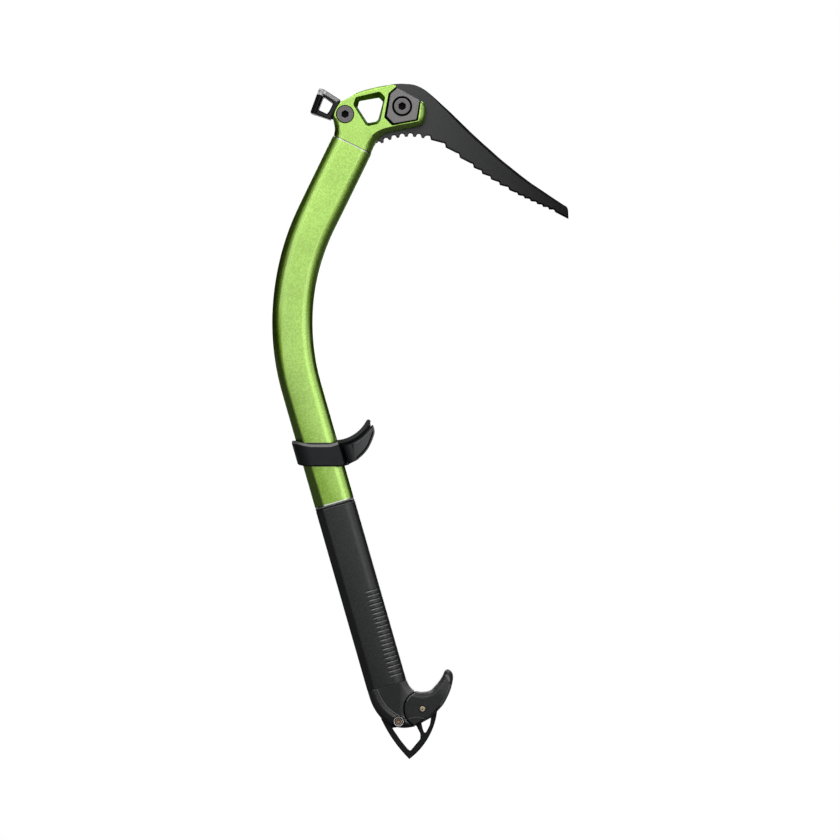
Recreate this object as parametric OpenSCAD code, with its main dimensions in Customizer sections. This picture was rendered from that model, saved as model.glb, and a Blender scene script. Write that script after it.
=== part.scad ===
// Ice climbing tool with a curved shaft, a pick and hammer head, a finger rest and a jointed pommel.
// Frame: origin in the middle of the head window, +X toward the pick, +Z up, +Y to the far side.

/* [Shaft] */
// front to back width of the shaft
shaft_w = 30.4; // [28:0.2:33]
// side to side depth of the shaft
shaft_d = 21; // [19:0.5:24]
// corner radius of the shaft section
shaft_r = 8; // [6.5:0.5:9]
// wall of the shaft tube
shaft_wall = 2; // [1.6:0.1:2.4]
// lean of the upper straight from upright, degrees
lean_top = 26; // [24:0.5:28]
// lean of the grip straight from upright, degrees
lean_grip = 16; // [13:0.5:19]
// centreline radius of the bend
bend_r = 176; // [150:1:210]
// straight between the head and the bend
top_len = 60.3; // [45:0.1:75]
// bare straight between the bend and the grip
bare_len = 88.4; // [84:0.1:110]

/* [Head] */
// thickness of the head over both cheeks
head_t = 20; // [18:0.5:23]
// middle of the head seam, left of the window middle
seam_x = -14.1; // [-15:0.1:-13]
// middle of the head seam, below the window middle
seam_z = -26.6; // [-28:0.1:-26]
// height over which the neck turns from round to square
neck_h = 11; // [8:0.5:13]
// length of the tang in the shaft
head_tang = 30; // [20:1:40]
// radius of the hollow under the front of the head
throat_r = 20.5; // [19:0.5:22]
// bevel round the window
window_bevel = 1.4; // [0.6:0.1:1.8]

/* [Pick] */
// thickness of the pick
pick_t = 4; // [3:0.1:5]
// radius of the arched back of the pick
crown_r = 28.4; // [27:0.1:30]
// radius of the hollow spine
spine_r = 350; // [300:5:420]
// radius of the arch under the head
arch_r = 45; // [42:0.5:50]
// radius of one notch in the arch
notch_r = 1.9; // [1.4:0.1:2.2]
// angle from notch to notch, degrees
notch_step = 7.7; // [7:0.1:9]
// bevel of the spine
spine_bevel = 1.8; // [0.8:0.1:2.4]

/* [Pick weights and bolts] */
// thickness of one pick weight
weight_t = 5.2; // [4:0.1:5.6]
// depth of a weight below the cheek
weight_inset = 0.8; // [0.2:0.1:1.2]
// radius of the pick bolt head
pick_head_r = 6; // [5:0.1:6.5]
// height of the pick bolt head
pick_head_h = 3.2; // [2.4:0.1:3.4]
// radius of the pick bolt shank
pick_shank_r = 4; // [3:0.1:4.4]
// radius of the hammer bolt head
ham_head_r = 6.2; // [5:0.1:6.6]
// height of the hammer bolt head
ham_head_h = 3.2; // [2.4:0.1:3.6]
// radius of the hammer bolt shank
ham_shank_r = 3; // [2.5:0.1:3.5]
// socket of both bolts across flats
socket_af = 5; // [4:0.5:6]
// depth of the sockets
socket_deep = 2.2; // [1.5:0.1:2.3]

/* [Hammer] */
// thickness of the hammer frame
ham_t = 14; // [11:0.5:16]
// width of the striking face
face_w = 19; // [17:0.5:22]
// depth of the full width behind the striking face
face_deep = 3.5; // [2:0.5:5]
// thickness of the hammer tongue
tongue_t = 7; // [5:0.5:8]

/* [Finger rest] */
// distance from the bend to the middle of the band
rest_at = 50.7; // [46:0.1:60]
// height of the band
band_h = 18; // [15:0.5:20]
// wall of the band
band_t = 2.2; // [1.8:0.1:3]
// thickness of the liner
liner_t = 0.6; // [0.5:0.1:1]
// radius of the finger surface of the blade
blade_r = 27.4; // [26.5:0.1:28]
// thickness of the blade
blade_t = 2.8; // [2.2:0.1:3.2]
// radius of the outer edge of the lever
lever_r = 27.7; // [26:0.1:28.5]
// thickness of the lever leaf
leaf_t = 3.8; // [3:0.1:4.2]
// slit between the blade and the lever
slit = 1.2; // [0.8:0.1:1.6]
// radius of the lever barrel
barrel_r = 2.3; // [2.2:0.1:2.6]
// radius of the clamp screw
clamp_r = 1.5; // [1.2:0.1:1.7]

/* [Grip and pommel] */
// length of the grip
grip_len = 140.2; // [125:0.1:155]
// thickness of the rubber
grip_t = 1.8; // [1.4:0.1:2.2]
// number of ribs
rib_count = 20; // [12:1:22]
// distance from rib to rib
rib_step = 3.4; // [3:0.1:4]
// depth of the shaft in the pommel
seat_deep = 10; // [7:0.5:11]
// thickness of the pommel at its foot
foot_t = 17; // [15:0.5:19]
// radius of the horn hub
hub_r = 13.6; // [13:0.1:14]
// thickness of the horn hub
hub_t = 19; // [17:0.5:20]
// radius of the hollow for the little finger
saddle_r = 11.8; // [11:0.1:12.2]
// radius of the horn pin
pin_r = 1.6; // [1.3:0.1:2]
// radius of the recess round the horn pin
recess_r = 2.7; // [2.3:0.1:3.2]
// outer radius of the pommel sleeve
sleeve_r = 3.7; // [3.2:0.1:3.8]
// radius of the pommel screw
screw_r = 1.9; // [1.5:0.1:2.2]

/* [Spike] */
// thickness of the spike plate
spike_t = 3.6; // [3:0.1:4]
// width of the spike tang
tang_w = 12; // [9:0.5:13]
// length of the tang above the pommel seam
tang_up = 26; // [22:1:32]
// radius of the tang pin
tang_pin_r = 2.5; // [2:0.1:3]

/* [Clearances] */
// gap between fixed pieces
fit_gap = 0.1; // [0.05:0.05:0.15]
// gap round a running pin
run_gap = 0.05; // [0.03:0.01:0.08]
// gap between pieces that move past each other
move_gap = 0.3; // [0.25:0.05:0.5]
// gap round the pick weights
weight_gap = 0.6; // [0.3:0.1:0.8]

/* [Hidden] */
$fn = 64;
eps = 0.01;
far = 200;

// shaft path
seam = [seam_x, 0, seam_z];
bend_top = seam - top_len * [sin(lean_top), 0, cos(lean_top)];
bend_mid = bend_top + bend_r * [cos(lean_top), 0, -sin(lean_top)];
bend_end = bend_mid - bend_r * [cos(lean_grip), 0, sin(lean_grip)];
foot_at = bare_len + grip_len;
core_w = shaft_w - 2 * grip_t;
core_d = shaft_d - 2 * grip_t;
core_r = shaft_r - grip_t;
bore_w = shaft_w - 2 * shaft_wall;
bore_d = shaft_d - 2 * shaft_wall;
bore_r = shaft_r - shaft_wall;
core_bore_w = core_w - 2 * shaft_wall;
core_bore_d = core_d - 2 * shaft_wall;
core_bore_r = core_r - shaft_wall;
shoulder = 4;
// the straights lap over the ends of the bend, which is drawn thinner
lap = 1;
draw = 0.04;

// head
slot_t = pick_t + 2 * fit_gap;
pocket_y = head_t / 2 - weight_inset - weight_t;
seam_back = [seam_x - shaft_w / 2 * cos(lean_top), seam_z + shaft_w / 2 * sin(lean_top)];
seam_front = [seam_x + shaft_w / 2 * cos(lean_top), seam_z - shaft_w / 2 * sin(lean_top)];
head_back = [[-27.3, -15], [-28.3, -11.5], [-29.2, -8.6], [-28.8, -6.5], [-22.3, 5.2]];
head_top = [[-17.8, 7.6], [-11.8, 10.9], [-6.7, 12.7], [17, 17.8], [20, 15.5], [36.6, 6.3]];
head_nose = [[40, 3.3], [40.2, -2.2], [39.2, -7.4], [37.4, -10.7], [36.3, -12.2], [14.1, -16.6]];
throat = [19.2, -36.6];
window_pts = [[-10.4, 6.4], [5.6, 10], [9.3, 6.3], [6.4, -9.6], [-3, -11.6], [-11.8, 1.9]];
window_reach = 11;
weight_pts = [[19.2, 15.2], [36.2, 5.9], [34, -8.9], [17.2, -11.8], [10.9, -5.8], [13.7, 11]];
weight_reach = 13;
pocket_open = [[19.2, 15.2], [36.2, 5.9], [40, 12], [24, 22]];
pick_bolt_at = [22.8, 0, 1.5];
ham_bolt_at = [-19.3, 0, -4.4];
counter_r = pick_head_r + 1.2;
head_sink = 0.2;
pick_seat = head_t / 2 - weight_inset - pick_head_h - head_sink;
ham_seat = head_t / 2 - ham_head_h - head_sink;
pick_thread_r = pick_shank_r - 1;
ham_thread_r = ham_shank_r - 0.6;
thread_short = 0.6;

// pick
tail_pts = [[15.8, 20], [14, 10.4], [11.8, -7.5], [7.4, -14], [2.6, -21.8], [2.6, -27.4]];
slot_pts = [[15.4, 30], [13.6, 10.5], [11.4, -7.6], [7, -14.2], [2.2, -22], [2.2, -40], [60, -40], [60, 30]];
crown = [22.6, 18.9 - crown_r];
arch = [28.3, -20.3 - arch_r];
slope = 43.2;
spine_start = [82, -25.6];
spine_mid = spine_start + spine_r * [sin(slope), cos(slope)];
spine_flat_len = 56.7;
spine_flat = spine_start + spine_flat_len * [-cos(slope), sin(slope)];
crown_end = [spine_flat[0], 22];
crown_back = 10;
crown_high = 30;
crown_block = [[crown_back, spine_flat[1]], [spine_flat[0], spine_flat[1]], [spine_flat[0], crown_high],
    [crown_back, crown_high]];
arch_end = [43, -28];
tip_pts = [[142.6, -71.3], [144.4, -72.8], [145.4, -75], [146, -81.4], [139, -76.7]];
small_teeth = [[135.4, -76.2], [130.8, -74.5], [126.4, -72.5], [122, -70.3], [117.5, -68.2], [112.8, -66.1]];
mid_teeth = [[108.3, -63.6], [101.8, -59.9], [95.1, -56.2], [88.4, -52], [81.8, -47.9], [75.6, -43.3]];
long_teeth = [[65.3, -36], [54.9, -28.6], [43.9, -22.8]];
teeth = concat(small_teeth, mid_teeth, long_teeth);
// rise of the notch beside a tooth
function rise(i) = i < len(small_teeth) ? 1.9 : i < len(small_teeth) + len(mid_teeth) - 1 ? 2.4 : 3.2;
function notch(i) = [
    teeth[i],
    teeth[i] + [-0.3, rise(i) * 0.6],
    teeth[i] + [-0.8, rise(i) * 0.9],
    teeth[i] + [-1.6, rise(i)]
];
underside = [for (i = [0:len(teeth) - 2]) each notch(i)];
notch_first = 16.2;
notch_count = 7;
notch_in = 0.6;

// hammer
face_top = [-38.3, 15.3];
face_low = [-45.1, -2.8];
face_mid = (face_top + face_low) / 2;
face_lean = atan2(face_top[0] - face_low[0], face_top[1] - face_low[1]);
ham_pts = [face_top, [-35.5, 14.6], [-22.9, 6.8], [-22.7, 5.3], [-29.2, -6.3], [-29.7, -8.1],
    [-41.4, -4.3], face_low];
ham_hole = [[-35.3, 9], [-28, 4], [-32, -4.1], [-39.2, -1.3]];
ham_taper = 3.5;
ham_half = [[0, face_w / 2], [face_deep, face_w / 2], [face_deep + ham_taper, ham_t / 2], [far, ham_t / 2]];
tongue_r = 7;
ham_slot = [[-22, 7], [-17, 3], [-17, -6], [-21.5, -11.4], [-40, -11.4], [-40, 20]];
tongue_pts = [[-24, 4], [-15, 0], [-19, -11], [-27.5, -7.5], [-33, -4], [-27, 3.5]];

// finger rest
liner_gap = move_gap;
band_w = shaft_w + 2 * (liner_gap + liner_t + band_t);
band_d = shaft_d + 2 * (liner_gap + liner_t + band_t);
band_r = shaft_r + liner_gap + liner_t + band_t;
band_front = band_w / 2;
finger = [band_front + 1.7, 5.6 + blade_r];
leaf_mid = [band_front - 2.1, lever_r - 13.1];
leaf_in = blade_r + blade_t + slit;
cam_r = 4.4;
heel_r = 4.6;
relief_r = 5;
pivot_x = band_front + 3.7;
pivot_y = -(band_d / 2 - 5.1);
leaf_y = pivot_y - heel_r;
cam_shift = 0.2;
cam_low = -12.2;
cam_high = 1.2;
screw_z = -5.3;
screw_half = clamp_r + 0.8;
split = 0.8;
skin = 1;
ear_y = pivot_y + 4.9;
ear_long = 9;
ear_low = -11;
ear_high = 1;
web_y = 5.5;
web_edge = 3.4;
root = 1;
blade_long = 22.8;
blade_half = 12;
blade_tip = 7;
blade_root = 1.8;
blade_full = 5.7;
blade_rise = 16;
clamp_head_r = 2.8;
clamp_head_h = 2.6;
clamp_socket = 2.5;
clamp_socket_deep = 1.4;
barrel_short = 0.2;

// grip ribs
rib_r = 1.8;
rib_out = 1.2;
rib_first = 7;
plug_over = 4;

// pommel, in the frame of the grip seam
hub = [20.6, -23.8];
saddle = [27.2, -0.6];
bolt_at = [1.2, -27.7];
pommel_side = [[-14.6, -8], [-13.6, -14.3], [-12.3, -18.6], [-10.6, -22], [-8.1, -25.2], [-5.3, -28.6]];
pommel_foot = [[-3.4, -30.7], [1.1, -33], [5.4, -34.3], [10, -35], [24, -33], [24, -6], [16.5, 0]];
foot_edge = 5;
foot_z = -35.5;
plate_in = [[6, -13], [14, -14.5], [20, -15.5], [25, -17], [28.5, -21.5], [30, -26], [40, -34]];
plate_low = [[20, -58], [0.8, -57.3], [-20, -58], [-20, -23], [-11.1, -23]];
edge_front = [-17.4, -8.4];
edge_front_r = 52;
edge_back = [91.6, -6.6];
edge_back_r = 103.8;
window_back = [[-5, -31.4], [-1.4, -42.3], [1.7, -49.4], [2.9, -51], [5.1, -50.4]];
window_front = [[12.8, -45], [13.6, -43], [13.6, -39.5], [12.8, -35], [12.6, -34.4]];
clip_pts = [[17, -32.5], [16.7, -38.3], [16.8, -40.6], [17.5, -41.3], [18.5, -41.1], [20.5, -39.4],
    [22.6, -36.9], [25.2, -31]];
slot_near = tang_w / 2 + 2 * fit_gap;
slot_root = -12.6;
slot_reach = 40;
pommel_slot = [[-slot_near, 1], [slot_near, 1], [slot_near, slot_root], [slot_reach, slot_root],
    [slot_reach, -60], [-slot_reach, -60], [-slot_reach, -22.4], [-11.5, -22.4], [-6.7, -12]];
horn_slot_r = 12.6;
recess_deep = 1.4;
pin_sink = 0.5;
screw_socket = 2;
washer_t = 0.35;
cheek_y = spike_t / 2 + washer_t + 3 * run_gap;
washer_r = 5;
horn_low = [[0, -36.2], [9.9, -34.8], [20.4, -33], [30.2, -29.8], [30, 0], [0, 0]];
arm_at = [[28.5, 0, -21.2], [35.5, 0, -17.9], [43.1, 0, -9.9], [46.3, 0, -4]];
arm_r = [8.7, 6.9, 5.3, 3.1];
arm_half = [9.4, 8.8, 8, 6.5];

// colours
lime = [0.62, 0.82, 0.34];
steel = [0.28, 0.29, 0.29];
grey = [0.45, 0.45, 0.45];
black = [0.13, 0.13, 0.13];
rubber = [0.18, 0.18, 0.18];
brass = [0.75, 0.6, 0.3];

module rounded(w, d, r) {
    square([w - 2 * r, d], center = true);
    square([w, d - 2 * r], center = true);
    for (sx = [-1, 1], sy = [-1, 1])
        translate([sx * (w / 2 - r), sy * (d / 2 - r)])
            circle(r = r);
}

// upright slab of an outline between two depths
module slab(pts, y0, y1) {
    translate([0, y1, 0])
        rotate([90, 0, 0])
            linear_extrude(y1 - y0)
                polygon(pts);
}

module plate(pts, t) {
    slab(pts, -t / 2, t / 2);
}

// cylinder along the depth of the tool
module across(r, y0, y1) {
    translate([0, y1, 0])
        rotate([90, 0, 0])
            cylinder(r = r, h = y1 - y0);
}

module at(p) {
    translate([p[0], 0, p[1]])
        children();
}

module on_top() {
    translate(seam)
        rotate([0, lean_top, 0])
            children();
}

module on_low(d) {
    translate(bend_end + d * [sin(lean_grip), 0, -cos(lean_grip)])
        rotate([0, -lean_grip, 0])
            children();
}

module hex_socket(af, deep) {
    cylinder(r = af / sqrt(3), h = deep, $fn = 6);
}

// section of a tube
module ring(w, d, r, wall) {
    difference() {
        rounded(w, d, r);
        rounded(w - 2 * wall, d - 2 * wall, r - wall);
    }
}

module shaft_low() {
    difference() {
        union() {
            on_low(bare_len)
                linear_extrude(bare_len + lap)
                    rounded(shaft_w, shaft_d, shaft_r);
            on_low(foot_at + seat_deep)
                linear_extrude(grip_len + seat_deep + shoulder)
                    rounded(core_w, core_d, core_r);
        }
        on_low(bare_len - shoulder)
            linear_extrude(bare_len)
                rounded(bore_w, bore_d, bore_r);
        on_low(foot_at + seat_deep + 1)
            linear_extrude(grip_len + seat_deep + shoulder + 2)
                rounded(core_bore_w, core_bore_d, core_bore_r);
        on_low(foot_at - tang_up / 2)
            across(tang_pin_r + fit_gap / 2, -far, far);
    }
}

module shaft() {
    color(lime) {
        on_top()
            translate([0, 0, -top_len - lap])
                linear_extrude(top_len + lap)
                    ring(shaft_w, shaft_d, shaft_r, shaft_wall);
        translate(bend_mid)
            rotate([90, 0, 0])
                rotate([0, 0, 180 - lean_top])
                    rotate_extrude(angle = lean_top + lean_grip, $fn = 360)
                        translate([bend_r, 0])
                            ring(shaft_w - 2 * draw, shaft_d - 2 * draw, shaft_r - draw,
                                shaft_wall - 2 * draw, $fn = 64);
        shaft_low();
    }
}

module head_blank() {
    intersection() {
        plate(concat([seam_back], head_back, head_top, head_nose, [seam_front]), shaft_d + 6);
        union() {
            on_top()
                hull() {
                    linear_extrude(eps)
                        rounded(shaft_w, shaft_d, shaft_r, $fn = 32);
                    translate([0, 0, neck_h])
                        linear_extrude(eps)
                            square([2 * shaft_w, head_t], center = true);
                }
            on_top()
                translate([-far / 2, -head_t / 2, neck_h])
                    cube([far, head_t, far]);
        }
    }
    on_top()
        translate([0, 0, -head_tang])
            linear_extrude(head_tang + neck_h)
                rounded(bore_w - 2 * fit_gap, bore_d - 2 * fit_gap, bore_r - fit_gap);
}

module weight_pocket() {
    slab([for (p = weight_pts) [pick_bolt_at[0], pick_bolt_at[2]] + (p - [pick_bolt_at[0], pick_bolt_at[2]])
        * (1 + weight_gap / weight_reach)], pocket_y, far);
    slab(pocket_open, pocket_y, far);
}

module window_cut() {
    plate(window_pts, far);
    for (s = [0, 1])
        mirror([0, s, 0])
            translate([0, -(head_t / 2 - window_bevel), 0])
                rotate([90, 0, 0])
                    linear_extrude(window_bevel + 1, scale = 1 + (window_bevel + 1) / window_reach)
                        polygon(window_pts);
}

module head() {
    color(lime)
        difference() {
            head_blank();
            at(throat)
                across(throat_r, -far, far);
            window_cut();
            plate(slot_pts, slot_t);
            weight_pocket();
            mirror([0, 1, 0])
                weight_pocket();
            translate(pick_bolt_at)
                across(pick_shank_r + fit_gap, -far, far);
            translate(ham_bolt_at) {
                across(ham_shank_r + fit_gap, -far, far);
                across(tongue_r + 4 * fit_gap, -tongue_t / 2 - fit_gap, tongue_t / 2 + fit_gap);
                across(ham_head_r + move_gap, -far, -ham_seat);
                across(ham_head_r + move_gap, ham_seat, far);
            }
            plate(ham_slot, tongue_t + 2 * fit_gap);
        }
}

// bevel along the far edge of the spine
module spine_cut() {
    at(spine_mid)
        translate([0, pick_t / 2 + eps, 0])
            rotate([90, 0, 0])
                cylinder(r1 = spine_r + spine_bevel, r2 = spine_r, h = pick_t / 4, $fn = 720);
    at(spine_start)
        rotate([0, slope, 0])
            translate([-spine_flat_len, pick_t / 2, -spine_bevel])
                rotate([atan2(pick_t / 4, spine_bevel), 0, 0])
                    translate([0, 0, -spine_bevel])
                        cube([spine_flat_len, pick_t, 4 * spine_bevel]);
}

module pick() {
    color(steel)
        difference() {
            plate(concat(tail_pts, [arch_end], [for (i = [len(underside) - 1:-1:0]) underside[i]],
                [for (i = [len(tip_pts) - 1:-1:0]) tip_pts[i]], [spine_start, spine_flat, crown_end]), pick_t);
            at(spine_mid)
                across(spine_r, -far, far, $fn = 720);
            difference() {
                plate(crown_block, far);
                at(crown)
                    across(crown_r, -far, far);
            }
            at(arch)
                across(arch_r, -far, far);
            at(arch)
                for (i = [0:notch_count - 1])
                    rotate([0, notch_first - i * notch_step, 0])
                        translate([0, 0, arch_r + notch_in])
                            across(notch_r, -far, far);
            translate(pick_bolt_at)
                across(pick_shank_r + fit_gap, -far, far);
            spine_cut();
            mirror([0, 1, 0])
                spine_cut();
        }
}

// weight on the far side
module weight() {
    difference() {
        slab(weight_pts, pocket_y, pocket_y + weight_t);
        translate(pick_bolt_at) {
            across(pick_shank_r + fit_gap, -far, far);
            across(counter_r, pick_seat, far);
        }
    }
}

module pick_weight_near() {
    color(grey)
        mirror([0, 1, 0])
            weight();
}

module pick_weight_far() {
    color(grey)
        weight();
}

module socket_bolt(head_r, head_h, shank_r, end_r, seat) {
    difference() {
        union() {
            across(head_r, -seat - head_h, -seat);
            across(shank_r, -seat, seat - fit_gap);
            across(end_r, -seat, seat + head_h - thread_short);
        }
        translate([0, -seat - head_h + socket_deep, 0])
            rotate([90, 30, 0])
                hex_socket(socket_af, far);
    }
}

module pick_bolt() {
    color(grey)
        translate(pick_bolt_at)
            socket_bolt(pick_head_r, pick_head_h, pick_shank_r, pick_thread_r, pick_seat);
}

module hex_nut(r, hole_r, y0, y1) {
    difference() {
        translate([0, y1, 0])
            rotate([90, 0, 0])
                cylinder(r = r, h = y1 - y0, $fn = 6);
        across(hole_r, -far, far);
    }
}

module pick_nut() {
    color(grey)
        translate(pick_bolt_at)
            hex_nut(pick_head_r, pick_thread_r + run_gap, pick_seat, pick_seat + pick_head_h);
}

module hammer() {
    color(black)
        difference() {
            union() {
                intersection() {
                    plate(ham_pts, face_w);
                    at(face_mid)
                        rotate([0, face_lean, 0])
                            linear_extrude(far, center = true)
                                polygon(concat(ham_half, [for (i = [len(ham_half) - 1:-1:0])
                                    [ham_half[i][0], -ham_half[i][1]]]));
                }
                plate(tongue_pts, tongue_t);
                translate(ham_bolt_at)
                    across(tongue_r, -tongue_t / 2, tongue_t / 2);
            }
            plate(ham_hole, far);
            translate(ham_bolt_at)
                across(ham_shank_r + fit_gap, -far, far);
        }
}

module hammer_bolt() {
    color(grey)
        translate(ham_bolt_at)
            socket_bolt(ham_head_r, ham_head_h, ham_shank_r, ham_thread_r, ham_seat);
}

module hammer_nut() {
    color(grey)
        translate(ham_bolt_at)
            hex_nut(ham_head_r, ham_thread_r + run_gap, ham_seat, ham_seat + ham_head_h);
}

// ring round the shaft, cut level at top and bottom
module level_ring(grow_in, grow_out, h) {
    difference() {
        intersection() {
            linear_extrude(far / 2, center = true)
                rounded(shaft_w + 2 * grow_out, shaft_d + 2 * grow_out, shaft_r + grow_out);
            rotate([0, lean_grip, 0])
                cube([far, far, h], center = true);
        }
        linear_extrude(far, center = true)
            rounded(shaft_w + 2 * grow_in, shaft_d + 2 * grow_in, shaft_r + grow_in);
        translate([0, -split, -far / 2])
            cube([far, 2 * split, far]);
    }
}

module blade() {
    difference() {
        intersection() {
            at(finger)
                across(blade_r + blade_t, -far, far);
            linear_extrude(blade_rise)
                polygon([[band_front - blade_root, -blade_half], [band_front + blade_full, -blade_half],
                    [band_front + blade_long, -blade_tip], [band_front + blade_long, blade_tip],
                    [band_front + blade_full, blade_half], [band_front - blade_root, blade_half]]);
        }
        at(finger)
            across(blade_r, -far, far);
        translate([0, -far, -far])
            cube([band_front + 2 * move_gap, far + split, 2 * far]);
        linear_extrude(far, center = true)
            rounded(band_w - 2 * band_t, band_d - 2 * band_t, band_r - band_t);
    }
}

module lever_shape(r) {
    difference() {
        at(leaf_mid)
            across(r, -far, far);
        at(finger)
            across(leaf_in, -far, far);
    }
}

module rest_clamp() {
    color(black)
        on_low(rest_at)
            difference() {
                union() {
                    level_ring(liner_gap + liner_t, liner_gap + liner_t + band_t, band_h);
                    blade();
                    intersection() {
                        difference() {
                            at(leaf_mid)
                                across(lever_r - web_edge, -far, far);
                            at(finger)
                                across(blade_r + blade_t / 2, -far, far);
                        }
                        translate([band_front - root, split, -far / 2])
                            cube([far, web_y - split, far]);
                    }
                    translate([band_front - root, ear_y, ear_low])
                        cube([ear_long, -split - ear_y, ear_high - ear_low]);
                }
                translate([pivot_x, pivot_y, cam_high + 2 * move_gap - far])
                    cylinder(r = relief_r, h = far);
                translate([pivot_x, 0, screw_z])
                    across(clamp_r + move_gap, -far, far);
            }
}

module rest_liner() {
    color(rubber)
        on_low(rest_at)
            level_ring(liner_gap, liner_gap + liner_t - run_gap, band_h - 1);
}

module rest_lever() {
    color(black)
        on_low(rest_at)
            difference() {
                union() {
                    intersection() {
                        lever_shape(lever_r);
                        translate([pivot_x, leaf_y, -far / 2])
                            cube([far, leaf_t, far]);
                    }
                    translate([pivot_x, pivot_y + cam_shift, cam_low])
                        cylinder(r = cam_r, h = cam_high - cam_low);
                    intersection() {
                        translate([pivot_x - heel_r, leaf_y, cam_low])
                            cube([2 * heel_r, heel_r, cam_high - cam_low]);
                        translate([pivot_x, pivot_y, cam_low])
                            cylinder(r = heel_r, h = cam_high - cam_low);
                    }
                }
                translate([pivot_x, pivot_y, cam_low - 1])
                    cylinder(r = barrel_r + run_gap, h = cam_high - cam_low + 2);
                translate([pivot_x - 2 * heel_r, leaf_y + skin, screw_z - screw_half])
                    cube([2 * heel_r + screw_half, 4 * heel_r, 2 * screw_half]);
            }
}

module rest_barrel() {
    color(grey)
        on_low(rest_at)
            difference() {
                translate([pivot_x, pivot_y, cam_low + barrel_short])
                    cylinder(r = barrel_r, h = cam_high - cam_low - 2 * barrel_short);
                translate([pivot_x, 0, screw_z])
                    across(clamp_r + run_gap, pivot_y - far, pivot_y + far);
            }
}

module rest_screw() {
    color(grey)
        on_low(rest_at)
            translate([pivot_x, 0, screw_z])
                difference() {
                    union() {
                        across(clamp_r, pivot_y - barrel_r / 2, web_y + clamp_head_h / 2);
                        across(clamp_head_r, web_y + fit_gap, web_y + clamp_head_h);
                    }
                    translate([0, web_y + clamp_head_h - clamp_socket_deep, 0])
                        rotate([-90, 0, 0])
                            hex_socket(clamp_socket, far);
                }
}

module grip() {
    color(rubber)
        difference() {
            on_low(foot_at)
                linear_extrude(grip_len - fit_gap)
                    rounded(shaft_w, shaft_d, shaft_r);
            on_low(foot_at + 1)
                linear_extrude(grip_len + 2)
                    rounded(core_w + fit_gap, core_d + fit_gap, core_r + fit_gap / 2);
            on_low(foot_at)
                for (i = [0:rib_count - 1])
                    translate([shaft_w / 2 + rib_out, 0, rib_first + i * rib_step])
                        across(rib_r, -far, far);
        }
}

module shaft_plug() {
    color(grey)
        on_low(foot_at)
            difference() {
                translate([0, 0, -seat_deep])
                    linear_extrude(seat_deep + tang_up + plug_over)
                        rounded(core_bore_w - 2 * fit_gap, core_bore_d - 2 * fit_gap, core_bore_r - fit_gap);
                translate([-tang_w / 2 - fit_gap, -spike_t / 2 - fit_gap, -far])
                    cube([tang_w + 2 * fit_gap, spike_t + 2 * fit_gap, far + tang_up + fit_gap]);
                translate([0, 0, tang_up / 2])
                    across(tang_pin_r + fit_gap / 2, -far, far);
            }
}

module tang_pin() {
    color(grey)
        on_low(foot_at - tang_up / 2)
            across(tang_pin_r, -core_d / 2 + fit_gap, core_d / 2 - fit_gap);
}

module spike() {
    color(steel)
        on_low(foot_at)
            difference() {
                intersection() {
                    plate(concat([[-tang_w / 2, tang_up], [tang_w / 2, tang_up]], plate_in, plate_low,
                        [[-tang_w / 2, -12.5]]), spike_t);
                    at(edge_front)
                        across(edge_front_r, -far, far);
                    at(edge_back)
                        across(edge_back_r, -far, far);
                }
                plate(concat(window_back, window_front), far);
                plate(clip_pts, far);
                at(bolt_at)
                    across(sleeve_r + fit_gap, -far, far);
                at(hub)
                    across(pin_r + fit_gap / 2, -far, far);
                translate([0, 0, tang_up / 2])
                    across(tang_pin_r + fit_gap / 2, -far, far);
            }
}

module pommel_base() {
    color(black)
        on_low(foot_at)
            difference() {
                intersection() {
                    plate(concat([[-shaft_w / 2, 0]], pommel_side, pommel_foot), shaft_d);
                    translate([shaft_w / 2, 0, -far / 2])
                        linear_extrude(far)
                            rounded(2 * shaft_w, shaft_d, shaft_r);
                    translate([0, 0, foot_z + far / 2])
                        rotate([0, 90, 0])
                            linear_extrude(far, center = true)
                                rounded(far, shaft_d, foot_edge);
                }
                at(hub)
                    across(hub_r + move_gap, -far, far);
                at(saddle)
                    across(saddle_r, -far, far);
                translate([0, 0, -seat_deep - fit_gap])
                    linear_extrude(far)
                        rounded(core_w + fit_gap, core_d + fit_gap, core_r + fit_gap / 2);
                plate(pommel_slot, spike_t + 2 * fit_gap);
                at(bolt_at)
                    across(sleeve_r + fit_gap, -far, far);
            }
}

module pommel_sleeve() {
    color(grey)
        on_low(foot_at)
            at(bolt_at)
                difference() {
                    across(sleeve_r, -foot_t / 2, foot_t / 2);
                    across(screw_r + run_gap, -far, far);
                }
}

module pommel_screw() {
    color(brass)
        on_low(foot_at)
            at(bolt_at)
                difference() {
                    across(screw_r, -foot_t / 2 + pin_sink, foot_t / 2 - pin_sink);
                    translate([0, -foot_t / 2 + screw_socket, 0])
                        rotate([90, 0, 0])
                            hex_socket(screw_socket, far);
                }
}

module ellipsoid(i) {
    translate(arm_at[i])
        scale([1, arm_half[i] / arm_r[i], 1])
            sphere(r = arm_r[i], $fn = 32);
}

module horn() {
    color(black)
        on_low(foot_at)
            difference() {
                union() {
                    intersection() {
                        at(hub)
                            across(hub_r, -hub_t / 2, hub_t / 2);
                        plate(horn_low, far);
                    }
                    for (i = [0:2])
                        hull() {
                            ellipsoid(i);
                            ellipsoid(i + 1);
                        }
                }
                at(saddle)
                    across(saddle_r, -far, far);
                at(hub) {
                    across(horn_slot_r, -cheek_y, cheek_y);
                    translate([-far, -cheek_y, -far / 2])
                        cube([far, 2 * cheek_y, far]);
                    across(pin_r + run_gap, -far, far);
                    across(recess_r, -far, -hub_t / 2 + recess_deep);
                    across(recess_r, hub_t / 2 - recess_deep, far);
                }
            }
}

module horn_pin() {
    color(brass)
        on_low(foot_at)
            at(hub)
                difference() {
                    across(pin_r, -hub_t / 2 + pin_sink, hub_t / 2 - pin_sink);
                    across(pin_r / 2, -far, -hub_t / 2 + recess_deep);
                }
}

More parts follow.
